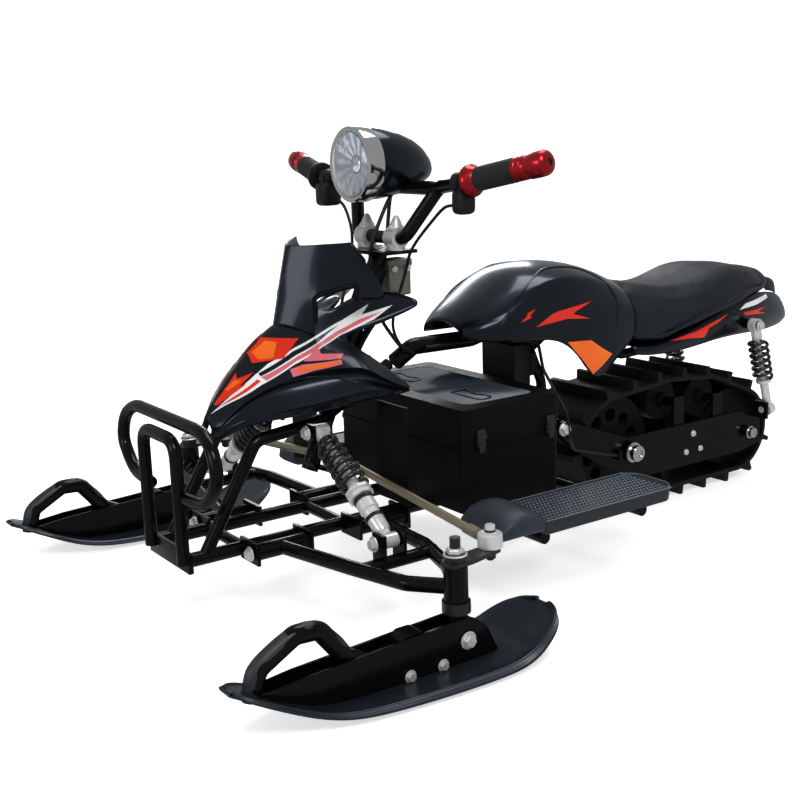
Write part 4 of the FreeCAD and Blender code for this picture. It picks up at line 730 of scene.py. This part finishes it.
def makeHeadlight():
    startX, startY, startZ = lamp["front"]
    shell = formPiece("lamp_shell", [lampForm("shell", drop=lamp["drop"])], "glossBlack", "steering")
    formPiece("lamp_foot", [block(*lamp["foot"], lamp["footSoft"])], "frameBlack", "steering")
    formPiece("lamp_bezel", [lampForm("bezel", near=False, far=False)], "chrome", "steering")
    around, rows = lamp["facets"] * 2, len(lamp["bowl"])
    points, faces = turned(lamp["bowl"], lamp["front"], (0, 1, 0), around, near=False)
    points = [(x, y + lamp["facetDepth"] * (index % 2) * (1 - (index // around) / rows), z)
              for index, (x, y, z) in enumerate(points)]
    formPiece("lamp_bowl", [(points, faces)], "lampBowl", "steering", sharp=4)
    blades = lamp["blades"]
    inner, outer, near, deep = lamp["fan"]
    # every other blade gets the darker copy of the chrome: painted dark reflection between the bright chrome
    # blades
    for word, finish, turn in (("bright", "lampBowl", 0), ("painted_dark", "lampFacetPaintedDark", 1)):
        fan = []
        for step in range(turn, blades * 2, 2):
            low, high = [math.pi * (step + reach) / blades for reach in (0, 1)]
            corners = ((inner, deep, low), (inner, deep, high), (outer, near, high), (outer, near, low))
            points = [(startX + r * math.cos(a), startY + y, startZ + r * math.sin(a)) for r, y, a in corners]
            fan.append((points, [[0, 1, 2, 3]]))
        formPiece("lamp_fan_" + word, fan, finish, "steering")
    formPiece("lamp_shade", [lampForm("shade")], "chrome", "steering")
    formPiece("lamp_bulb", [lampForm("bulb")], "lampGlass", "steering")
    points, faces = lampForm("lens", near=False, far=False)
    points = [(x, y - lamp["fluteDepth"] * abs(math.sin(x / lamp["fluteSpan"] * lamp["flutes"] / 2)), z)
              for x, y, z in points]
    lens = formPiece("lamp_lens", [(points, faces)], "lampGlass", "steering")
    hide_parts("headlight_shell")
    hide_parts("headlight_lens")


makeHeadlight()
print("headlight made")

grip = {  # profiles of (distance along, radius)
    "start": (204, -221, 640), "end": (350, -188, 669),
    "flange": [(4, 12), (4, 20), (6, 24), (10, 25), (15, 24), (19, 20.5), (23, 19), (25, 17)],
    "rubber": (24, 96, 17.2, 18.2, 4.4),  # from, to, low and high radius, pitch of the ribs
    "core": 14, "rib": (0.4, 1.0, -1.2, -0.5),  # radius inside; a rib's corners from the ends of a pitch
    "collar": [(95, 16), (96, 18), (102, 18), (102.6, 17.4), (104, 17.4), (104.6, 18), (111, 18),
               (111.6, 17.4), (113, 17.4), (113.6, 17.9), (118, 17.6), (120, 16)],
    "cap": [(119, 15), (120, 17.8), (122, 19), (138, 19.2), (146, 18.6), (151, 16.6), (154, 13), (154.6, 9),
            (154.6, 5.4), (153, 5), (153, 0.4)],
    "socket": [(153.2, 4.8), (153.4, 4.8), (153.4, 0.4)],
}
controls = {  # blocks: low and high corner, softening
    "switch": [((184, -238, 592), (213, -207, 630), 9), ((190, -232, 622), (208, -214, 644), 6)],
    "throttle": [((-206, -240, 592), (-172, -202, 634), 8), ((-204, -232, 628), (-174, -208, 654), 7)],
    "clampRing": [(-7, 13), (-6, 16), (8, 16), (9, 14)],
    "ringSpot": (188, -220, 639), "ringLine": (1, 0.05, 0.1),
    "thin": 2.6, "thick": 3.2,
    "switchCable": [(188, -222, 606), (164, -217, 604), (134, -212, 598), (104, -216, 574), (78, -224, 546),
                    (60, -226, 524), (44, -222, 500), (34, -226, 470), (30, -236, 440), (26, -240, 404),
                    (22, -224, 372), (20, -196, 352)],
    "throttleCable": [(-178, -220, 606), (-160, -222, 604), (-132, -226, 594), (-104, -234, 572),
                      (-78, -246, 548), (-58, -262, 520), (-36, -286, 482), (-26, -306, 440)],
    "dropCables": [[(16, -224, 622), (17, -240, 600), (18, -262, 560), (16, -272, 530), (10, -268, 500),
                    (4, -262, 470), (2, -256, 440), (6, -246, 410), (8, -226, 380), (4, -204, 356)],
                   [(-4, -214, 622), (-5, -218, 600), (-6, -222, 566), (-6, -226, 534)]],
}


def makeBarEnds():
    start = Vector(grip["start"])
    ahead = Vector(grip["end"]) - start
    low, high, valley, crest, pitch = grip["rubber"]
    foot, top, topEnd, footEnd = grip["rib"]
    ribs = [(low, grip["core"])]
    for number in range(int((high - low) / pitch)):
        at = low + number * pitch
        ribs += [(at + foot, valley), (at + top, crest)]
        ribs += [(at + pitch + topEnd, crest), (at + pitch + footEnd, valley)]
    ribs.append((high, grip["core"]))
    for side, flange in (("left", "redAnodised"), ("right", "controlPlastic")):
        for word, profiles, around, finish in (
                ("rubber", [ribs], 40, "gripRubber"),
                ("anodised", [grip["collar"], grip["cap"]], 48, "redAnodised"),
                ("flange", [grip["flange"]], 48, flange),
                ("socket", [grip["socket"]], 24, "controlPlastic")):
            forms = onSide([turned(profile, start, ahead, around) for profile in profiles], side)
            piece = formPiece(f"{side}_grip_{word}", forms, finish, "steering")
            if word == "rubber":
                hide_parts(side + "_grip")


def makeControls():
    forms = [block(*corners) for corners in controls["switch"] + controls["throttle"]]
    x, y, z = controls["ringSpot"]
    for side in (1, -1):
        line = [value * side for value in controls["ringLine"][1:]]
        forms.append(turned(controls["clampRing"], (x * side, y, z), (controls["ringLine"][0], *line)))
    piece = formPiece("bar_housings", forms, "controlPlastic", "steering")
    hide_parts("bar_controls")
    cables = [piped(controls[word], controls["thin"]) for word in ("switchCable", "throttleCable")]
    cables += [piped(line, controls["thick"]) for line in controls["dropCables"]]
    wires = formPiece("bar_cables", cables, "cableBlack", None)
    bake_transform(wires)


makeBarEnds()
makeControls()
print("bar ends and controls made")

stem = {
    "clamp": [(0, 14), (0, 15), (2, 15.5), (21, 13.5), (21.5, 12.4), (23.5, 12.4), (24, 13.4), (38, 11.5),
              (50, 6), (55, 3),
              (56, 0.5)],
    "clampSpot": (42, -241, 530), "clampLean": (0, 0.06, 1),
    "barRing": [(-14, 13), (-13, 17), (13, 17), (14, 13)], "barSpot": (42, -240, 550),
    "block": ((-18, -238, 452), (18, -195, 512)), "cap": ((-20, -240, 500), (20, -193, 512)),
    "blockSoft": 3, "capSoft": 2,
    "sleeve": [(-100, 18), (-99, 21), (-30, 21), (-29, 18)], "pivot": (0, -243, 528), "rake": 24,
    "bolt": [(0, 6), (4, 6), (5, 5), (5, 0.5)], "bolts": [(20, -231, 497), (20, -204, 497)],
    "strut": [(15, -226, 458), (15, -262, 424), (16, -300, 380), (17, -332, 318)], "strutThick": 6,
}


def makeStem():
    rake = math.radians(stem["rake"])
    clamps = [turned(stem["clamp"], stem["clampSpot"], stem["clampLean"]),
              turned(stem["barRing"], stem["barSpot"], aside)]
    piece = formPiece("bar_clamps", bothSides(clamps), "clampAlloy", "steering", sharp=30)
    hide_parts("riser_clamps")
    formPiece("bearing_block", [block(*stem[word], stem[word + "Soft"]) for word in ("block", "cap")],
              "castGrey")
    bolts = [turned(stem["bolt"], spot, aside, 6) for spot in stem["bolts"]]
    formPiece("block_bolts", bothSides(bolts), "boltZinc", sharp=30)
    sleeve = turned(stem["sleeve"], stem["pivot"], (0, math.sin(rake), math.cos(rake)))
    struts = bothSides([piped(stem["strut"], stem["strutThick"])])
    post = formPiece("head_struts", [sleeve] + struts, "frameBlack")
    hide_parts("steering_bracket")


makeStem()
print("stem made")

saddle = {
    "voxel": 5, "pressure": 4.0, "cap": 7, "frames": 20, "quality": 6, "smooth": (6, 0.5),
    "piping": [(80, 262, 330), (95, 318, 330), (106, 399, 347), (108, 497, 370), (103, 555, 384),
               (90, 604, 391), (66, 642, 394), (36, 666, 394), (0, 672, 394)],
    "pipingThick": 2.4,
}


def makeSaddle():
    mesh = nodes["saddle"].data.copy()
    mesh.name = "seat_pad"
    mesh.materials.clear()
    pad = meshPiece("seat_pad", mesh, "seatVinyl", sharp=180)
    remesh = pad.modifiers.new("even", "REMESH")
    remesh.mode = "VOXEL"
    remesh.voxel_size = saddle["voxel"] * milli
    applyAll(pad)
    start = [vert.co.copy() for vert in pad.data.vertices]
    cloth = pad.modifiers.new("puff", "CLOTH")
    cloth.settings.use_pressure = True
    cloth.settings.uniform_pressure_force = saddle["pressure"]
    cloth.settings.effector_weights.gravity = 0
    cloth.settings.quality = saddle["quality"]
    for number in range(1, saddle["frames"] + 1):
        bpy.context.scene.frame_set(number)
    applyAll(pad)
    bpy.context.scene.frame_set(1)
    cap = saddle["cap"] * milli
    for vert, before in zip(pad.data.vertices, start):
        shift = vert.co - before
        if shift.length > cap:
            vert.co = before + shift * (cap / shift.length)
    smooth = pad.modifiers.new("even_out", "SMOOTH")
    smooth.iterations, smooth.factor = saddle["smooth"]
    applyAll(pad)
    subdivide(pad, 1)
    pad.data.shade_smooth()
    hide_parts("saddle")
    edge = saddle["piping"]
    edge = piped(edge + [(-x, y, z) for x, y, z in reversed(edge[:-1])], saddle["pipingThick"], 8, 4)
    formPiece("saddle_piping", [edge], "seatVinyl")


makeSaddle()
print("saddle made")

bumper = {
    "hoop": [(58, -652, 100), (58, -652, 289), (-58, -652, 289), (-58, -652, 100)],
    "loop": [(55, -646, 200), (130, -642, 205), (170, -641, 249), (156, -639, 291), (118, -636, 311),
             (-118, -636, 311), (-156, -639, 291), (-170, -641, 249), (-130, -642, 205), (-55, -646, 200)],
    "bend": 30, "thick": 10,
    "plate": ((-71, -650, 86), (71, -642, 118)), "plateSoft": 1,
}


def makeBumper():
    routes = [roundedRoute(bumper[word], bumper["bend"]) for word in ("hoop", "loop")]
    forms = [piped(route, bumper["thick"], 16, 1) for route in routes]
    forms.append(block(*bumper["plate"], bumper["plateSoft"]))
    piece = formPiece("bumper_tubes", forms, "frameBlack", sharp=50)
    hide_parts("bumper")


damper = {  # profiles of (distance from the foot, radius), each with its corners
    "foot": (262, -421, 140), "head": (82, -421, 270),
    "shockAlloy": [
        (36, [(15, 8), (16, 11), (22, 12.5), (56, 13), (58, 15), (74, 15), (76, 13), (97, 13), (98, 8)]),
        (24, [(99, 9.5), (158, 9.5), (160, 6), (196, 6)]),
        (9, [(82, 12), (82.5, 20), (88, 20.5), (88.5, 17.5), (92, 17.5), (92.5, 20.5), (98, 20.5),
             (98.5, 12)])],
    "springBlack": [
        (32, [(40, 12), (40.5, 14.5), (46, 14.5), (46.5, 12)]),
        (32, [(76, 12), (76.5, 16), (81, 16), (81.5, 12)]),
        (32, [(190, 8), (191, 17), (198, 17), (202, 12), (206, 10)])],
}


def makeDampers():
    foot = Vector(damper["foot"])
    reach = Vector(damper["head"]) - foot
    for name, finish in (("damper_barrels", "shockAlloy"), ("damper_rings", "springBlack")):
        forms = [turned(profile, foot, reach, around) for around, profile in damper[finish]]
        formPiece(name, bothSides(forms), finish, sharp=30)


makeBumper()
makeDampers()
print("bumper and dampers made")

ski = {
    "middle": 414,
    "rows": [  # y, half width, height of the top
        (-765, 14, 68), (-752, 32, 64), (-722, 42, 50), (-676, 52, 28), (-642, 61, 17), (-600, 69, 11),
        (-534, 76, 10), (-470, 81, 10), (-408, 82, 10), (-365, 81, 11), (-332, 77, 18), (-302, 70, 34),
        (-280, 58, 45), (-266, 38, 52), (-262, 14, 54)],
    "across": [(1, -3.5), (0.985, 0), (0.88, 0.4), (0.85, 3), (0.81, 3), (0.78, 0.4), (0.4, 0.6), (0, 0.6)],
    "wall": 5,
    "loop": [(-733, 46), (-731, 62), (-724, 82), (-700, 99), (-668, 113), (-640, 112), (-614, 90), (-594, 64),
             (-566, 46), (-516, 27)],
    "loopThick": 12.2,
}


def makeSkis():
    across = ski["across"]
    shares = across + [(-share, lift) for share, lift in reversed(across[:-1])]
    for side, word in ((1, "left"), (-1, "right")):
        middle = ski["middle"] * side
        foot = word + "_ski_foot"
        rows = [[(middle + share * half, y, z + lift) for share, lift in shares]
                for y, half, z in ski["rows"]]
        piece = patchwork(word + "_ski_blade", [rows], "skiPlastic", ski["wall"], mirrored=False, body=foot)
        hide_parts(word + "_ski")
        loop = piped([(middle, y, z) for y, z in ski["loop"]], ski["loopThick"], 18, 5)
        formPiece(word + "_ski_loop", [loop], "loopRubber", foot)


makeSkis()
print("skis made")

board = {
    "deck": (226, 339, -186, 102), "top": 136.2, "foot": 115, "corner": 34, "rim": 2.6, "arcSteps": 8,
    "raised": 0.8, "edge": 2, "sunk": 0.9,  # from the top: rim over it, edge and floor under it
    "draft": 1.5,  # how far the foot is set in
    "pitch": (11, 7), "stud": (6.6, 4.6, 1.0),  # spacing across and along; length, width and height of a stud
    "first": 10, "spare": (14, 16),  # first stud from the edges; room left free across and along
    "clear": (7, 6),  # least distance of a stud from the outer edge and from a corner's arc
    "bead": (0.5, 1.4, 1.2),  # raised line on the edge: height over the top, in from the edge, radius
    "guard": [  # y, inner x, outer x, height of the top
        (-276, 262, 304, 116), (-275, 244, 322, 124), (-266, 231, 334, 141), (-248, 226, 339, 155),
        (-226, 225, 340, 160), (-204, 225, 340, 158), (-188, 226, 339, 148), (-178, 230, 336, 139)],
}


def inset(outline, middle, z, shrink):
    return [(x + shrink * math.copysign(1, middle[0] - x), y + shrink * math.copysign(1, middle[1] - y), z)
            for x, y in outline]


def makeBoards():
    inner, outer, front, back = board["deck"]
    top, foot, corner, rim = board["top"], board["foot"], board["corner"], board["rim"]
    middle = ((inner + outer) / 2, (front + back) / 2)
    outline = [(inner, front)]
    for centre, start in ((inner + corner, 180), (outer - corner, 90)):
        for step in range(board["arcSteps"] + 1):
            turn = math.radians(start - step * 90 / board["arcSteps"])
            outline.append((centre + corner * math.cos(turn), back - corner + corner * math.sin(turn)))
    outline.append((outer, front))
    crest = top + board["raised"]
    deck = loftOf([inset(outline, middle, z, shrink) for z, shrink in (
        (foot, board["draft"]), (top - board["edge"], 0), (crest, 1), (crest, rim),
        (top - board["sunk"], rim + 1))])
    over, within, thick = board["bead"]
    studs = [piped(inset(outline, middle, top + over, within), thick, 6, 2, closed=True)]
    (long, wide, high), (across, along) = board["stud"], board["pitch"]
    (spareX, spareY), (clearEdge, clearArc) = board["spare"], board["clear"]
    z = top - 1
    for row in range(int((back - front - spareY) / along)):
        y = front + board["first"] + row * along
        reach = back - corner - y
        arc = (outer - inner) / 2 - corner - clearArc + math.sqrt(max(corner * corner - reach * reach, 0))
        for number in range(int((outer - inner - spareX) / across)):
            x = inner + board["first"] + number * across
            if x > outer - clearEdge or (reach < 0 and abs(x - middle[0]) > arc):
                continue
            points = [(x - long / 2, y, z), (x, y - wide / 2, z), (x + long / 2, y, z), (x, y + wide / 2, z)]
            studs.append((points + [(x, y, z + high)], [[0, 1, 4], [1, 2, 4], [2, 3, 4], [3, 0, 4]]))
    guard = loftOf([ovalRow(y, low, high, foot, crown) for y, low, high, crown in board["guard"]])
    for side in ("left", "right"):
        body = formPiece(side + "_board_deck", onSide([deck], side), "boardPlastic", sharp=30)
        formPiece(side + "_board_studs", onSide(studs, side), "studPlastic", sharp=10)
        formPiece(side + "_toe_guard", onSide([guard], side), "guardPlastic", sharp=80)
        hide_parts(side + "_footboard")


makeBoards()
print("boards made")

lid = {
    "low": (-158, -196), "high": (158, -40), "z": 284.6, "pitch": 9, "rib": (2.6, 1.1), "least": 4,
    "handleLift": 0.8, "handleThick": 1.6,
    "handles": [[(60, -150), (132, -150), (138, -136), (128, -120), (96, -128), (64, -122)],
                [(-132, -150), (-60, -150), (-64, -122), (-96, -128), (-128, -120), (-138, -136)]],
    "latch": [((183, -8, 221), (188, 8, 251)), ((187, -6, 213), (190, 6, 228)),
              ((186, -9, 236), (190.5, 9, 243))],
    "latchAt": (-187, -41), "latchSoft": 0.8,
}


def makeLid():
    (lowX, lowY), (highX, highY) = lid["low"], lid["high"]
    z, (wide, high) = lid["z"], lid["rib"]
    deep, half = highY - lowY, wide / 2
    ribs = []
    for number in range(math.ceil((highX - lowX + deep) / lid["pitch"])):
        x = lowX - deep + number * lid["pitch"]
        a, b = max(x, lowX), min(x + deep, highX)
        if b - a < lid["least"]:
            continue
        ya, yb = lowY + a - x, lowY + b - x
        ribs.append(([(a - half, ya + half, z), (a + half, ya - half, z), (b + half, yb - half, z),
                      (b - half, yb + half, z), (a, ya, z + high), (b, yb, z + high)],
                     [[0, 1, 4], [1, 2, 5, 4], [2, 3, 5], [3, 0, 4, 5]]))
    # the ribs carry the painted sheen: their bluish grey is painted reflection, not the lid's own colour
    formPiece("lid_ribs", ribs, "lidPaintedSheen", sharp=10)
    handles = [piped([(x, y, z + lid["handleLift"]) for x, y in line], lid["handleThick"], 8, 3, closed=True)
               for line in lid["handles"]]
    formPiece("lid_handles", handles, "boxPlastic")
    latches = [block((low[0], low[1] + y, low[2]), (top[0], top[1] + y, top[2]), lid["latchSoft"])
               for y in lid["latchAt"] for low, top in lid["latch"]]
    piece = formPiece("lid_latches", bothSides(latches), "latchPlastic")
    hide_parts("box_latches")


rodEnd = {
    "spot": (402, -346, 151.5),
    "ring": [(0, 16.4), (0.8, 17.6), (6, 17.8), (13, 17.8), (19.6, 17.4), (21, 16)],
    "nut": [(20.6, 12), (20.8, 12.4), (22, 12.4), (23, 8), (23.2, 7.6), (32, 7.2), (33, 6), (33, 0.4)],
}


def makeRodEnds():
    forms = [turned(rodEnd[word], rodEnd["spot"], above, around)
             for word, around in (("ring", 36), ("nut", 24))]
    for side in ("left", "right"):
        formPiece(side + "_rod_end", onSide(forms, side), "shockAlloy", side + "_rod")


makeLid()
makeRodEnds()
print("lid and rod ends made")

fasteners = {
    # kind: profile of (distance out, radius) as shares of the radius, corners round it, finish
    "hex": ([(0, 1.0), (0.62, 1.0), (0.8, 0.86), (0.8, 0.0)], 6, "boltZinc"),
    "dome": ([(0, 1.0), (0.12, 1.0), (0.35, 0.93), (0.6, 0.74), (0.78, 0.42), (0.84, 0.02)], 24, "boltZinc"),
    "axle": ([(0, 1.25), (0.12, 1.25), (0.14, 1.0), (0.95, 1.0), (1.05, 0.9), (1.05, 0.58), (0.85, 0.55),
              (0.85, 0.0)], 28, "chrome"),
    "washer": ([(0, 1.6), (0.14, 1.6), (0.2, 1.5), (0.2, 0.0)], 32, "boltZinc"),
    "washerShare": 0.8, "least": 0.05,
    "both": [  # body, or which of a pair of bodies; kind, spot, outward line, radius
        ("chassis", "axle", (109, 232, 122), aside, 15),
        ("chassis", "axle", (109, 560, 104), aside, 10),
        ("chassis", "dome", (100, 403, 127), aside, 6.5),
        ("chassis", "dome", (100, 424, 94), aside, 6),
        ("chassis", "dome", (100, 384, 93), aside, 6),
        ("chassis", "hex", (108, 62, 195), aside, 10),
        ("chassis", "hex", (127, 557, 322), aside, 8),
        ("chassis", "hex", (115, 590, 147), ahead, 8),
        ("chassis", "hex", (82, -445, 270), ahead, 9),
        ("chassis", "hex", (262, -447, 140), ahead, 9),
        ("chassis", "hex", (95, -560, 105), ahead, 9),
        ("spindle", "hex", (414, -416, 160), above, 13),
        ("foot", "hex", (434, -412, 42), aside, 10),
        ("foot", "hex", (434, -509, 18), aside, 7),
        ("foot", "hex", (434, -455, 18), aside, 7),
        ("steering", "hex", (42, -246, 564), above, 7),
        ("steering", "hex", (42, -232, 564), above, 7),
        ("steering", "hex", (20, -232, 530), above, 6),
    ],
}


def fastener(kind, spot, out, radius):
    shares, around, _ = fasteners[kind]
    profile = [(along * radius, max(share * radius, fasteners["least"])) for along, share in shares]
    return turned(profile, spot, out, around)


def makeFasteners():
    batches = {}
    for body, kind, spot, out, radius in fasteners["both"]:
        forms = [fastener(kind, spot, out, radius)]
        if kind == "hex":
            forms.append(fastener("washer", spot, out, radius * fasteners["washerShare"]))
        for side in ("left", "right"):
            name = {"spindle": side + "_spindle", "foot": side + "_ski_foot"}.get(body, body)
            batches.setdefault((name, fasteners[kind][2]), []).extend(onSide(forms, side))
    for (body, finish), forms in batches.items():
        formPiece(f"{body}_{finish}", forms, finish, body, sharp=30)


makeFasteners()
print("fasteners made")

floorSettings = {
    "size": 9.0, "bend": 3.0, "wall": 9.0, "turn": 55,  # lengths in metres, turn of the back wall in degrees
    "aside": 1.6, "steps": 12, "sink": 0.0005,
    "dome": 16.0,  # radius of the white surround that only the camera sees
}


def layFloor():
    half, bend, steps = floorSettings["size"] / 2, floorSettings["bend"], floorSettings["steps"]
    back = math.radians(floorSettings["turn"])
    profile = [(-half, -floorSettings["sink"]), (half, -floorSettings["sink"])]
    for step in range(1, steps + 1):
        turn = math.pi / 2 * step / steps
        profile.append((half + bend * math.sin(turn), bend * (1 - math.cos(turn))))
    profile.append((half + bend, floorSettings["wall"]))
    sine, cosine, width = math.sin(back), math.cos(back), half * floorSettings["aside"]
    points = [(-away * sine + across * cosine, away * cosine + across * sine, z)
              for away, z in profile for across in (-width, width)]
    faces = [(row * 2, row * 2 + 1, row * 2 + 3, row * 2 + 2) for row in range(len(profile) - 1)]
    mesh = bpy.data.meshes.new("floor")
    mesh.from_pydata(points, [], faces)
    mesh.shade_smooth()
    mesh.materials.append(makeFinish("skinFloor"))
    floor = placed("floor", mesh)
    floor.visible_glossy = False
    form = bmesh.new()
    bmesh.ops.create_uvsphere(form, u_segments=64, v_segments=32, radius=floorSettings["dome"])
    mesh = bpy.data.meshes.new("surround")
    form.to_mesh(mesh)
    form.free()
    mesh.materials.append(makeFinish("surround"))
    dome = placed("surround", mesh)
    for ray in ("diffuse", "glossy", "transmission", "volume_scatter", "shadow"):
        setattr(dome, "visible_" + ray, False)


layFloor()
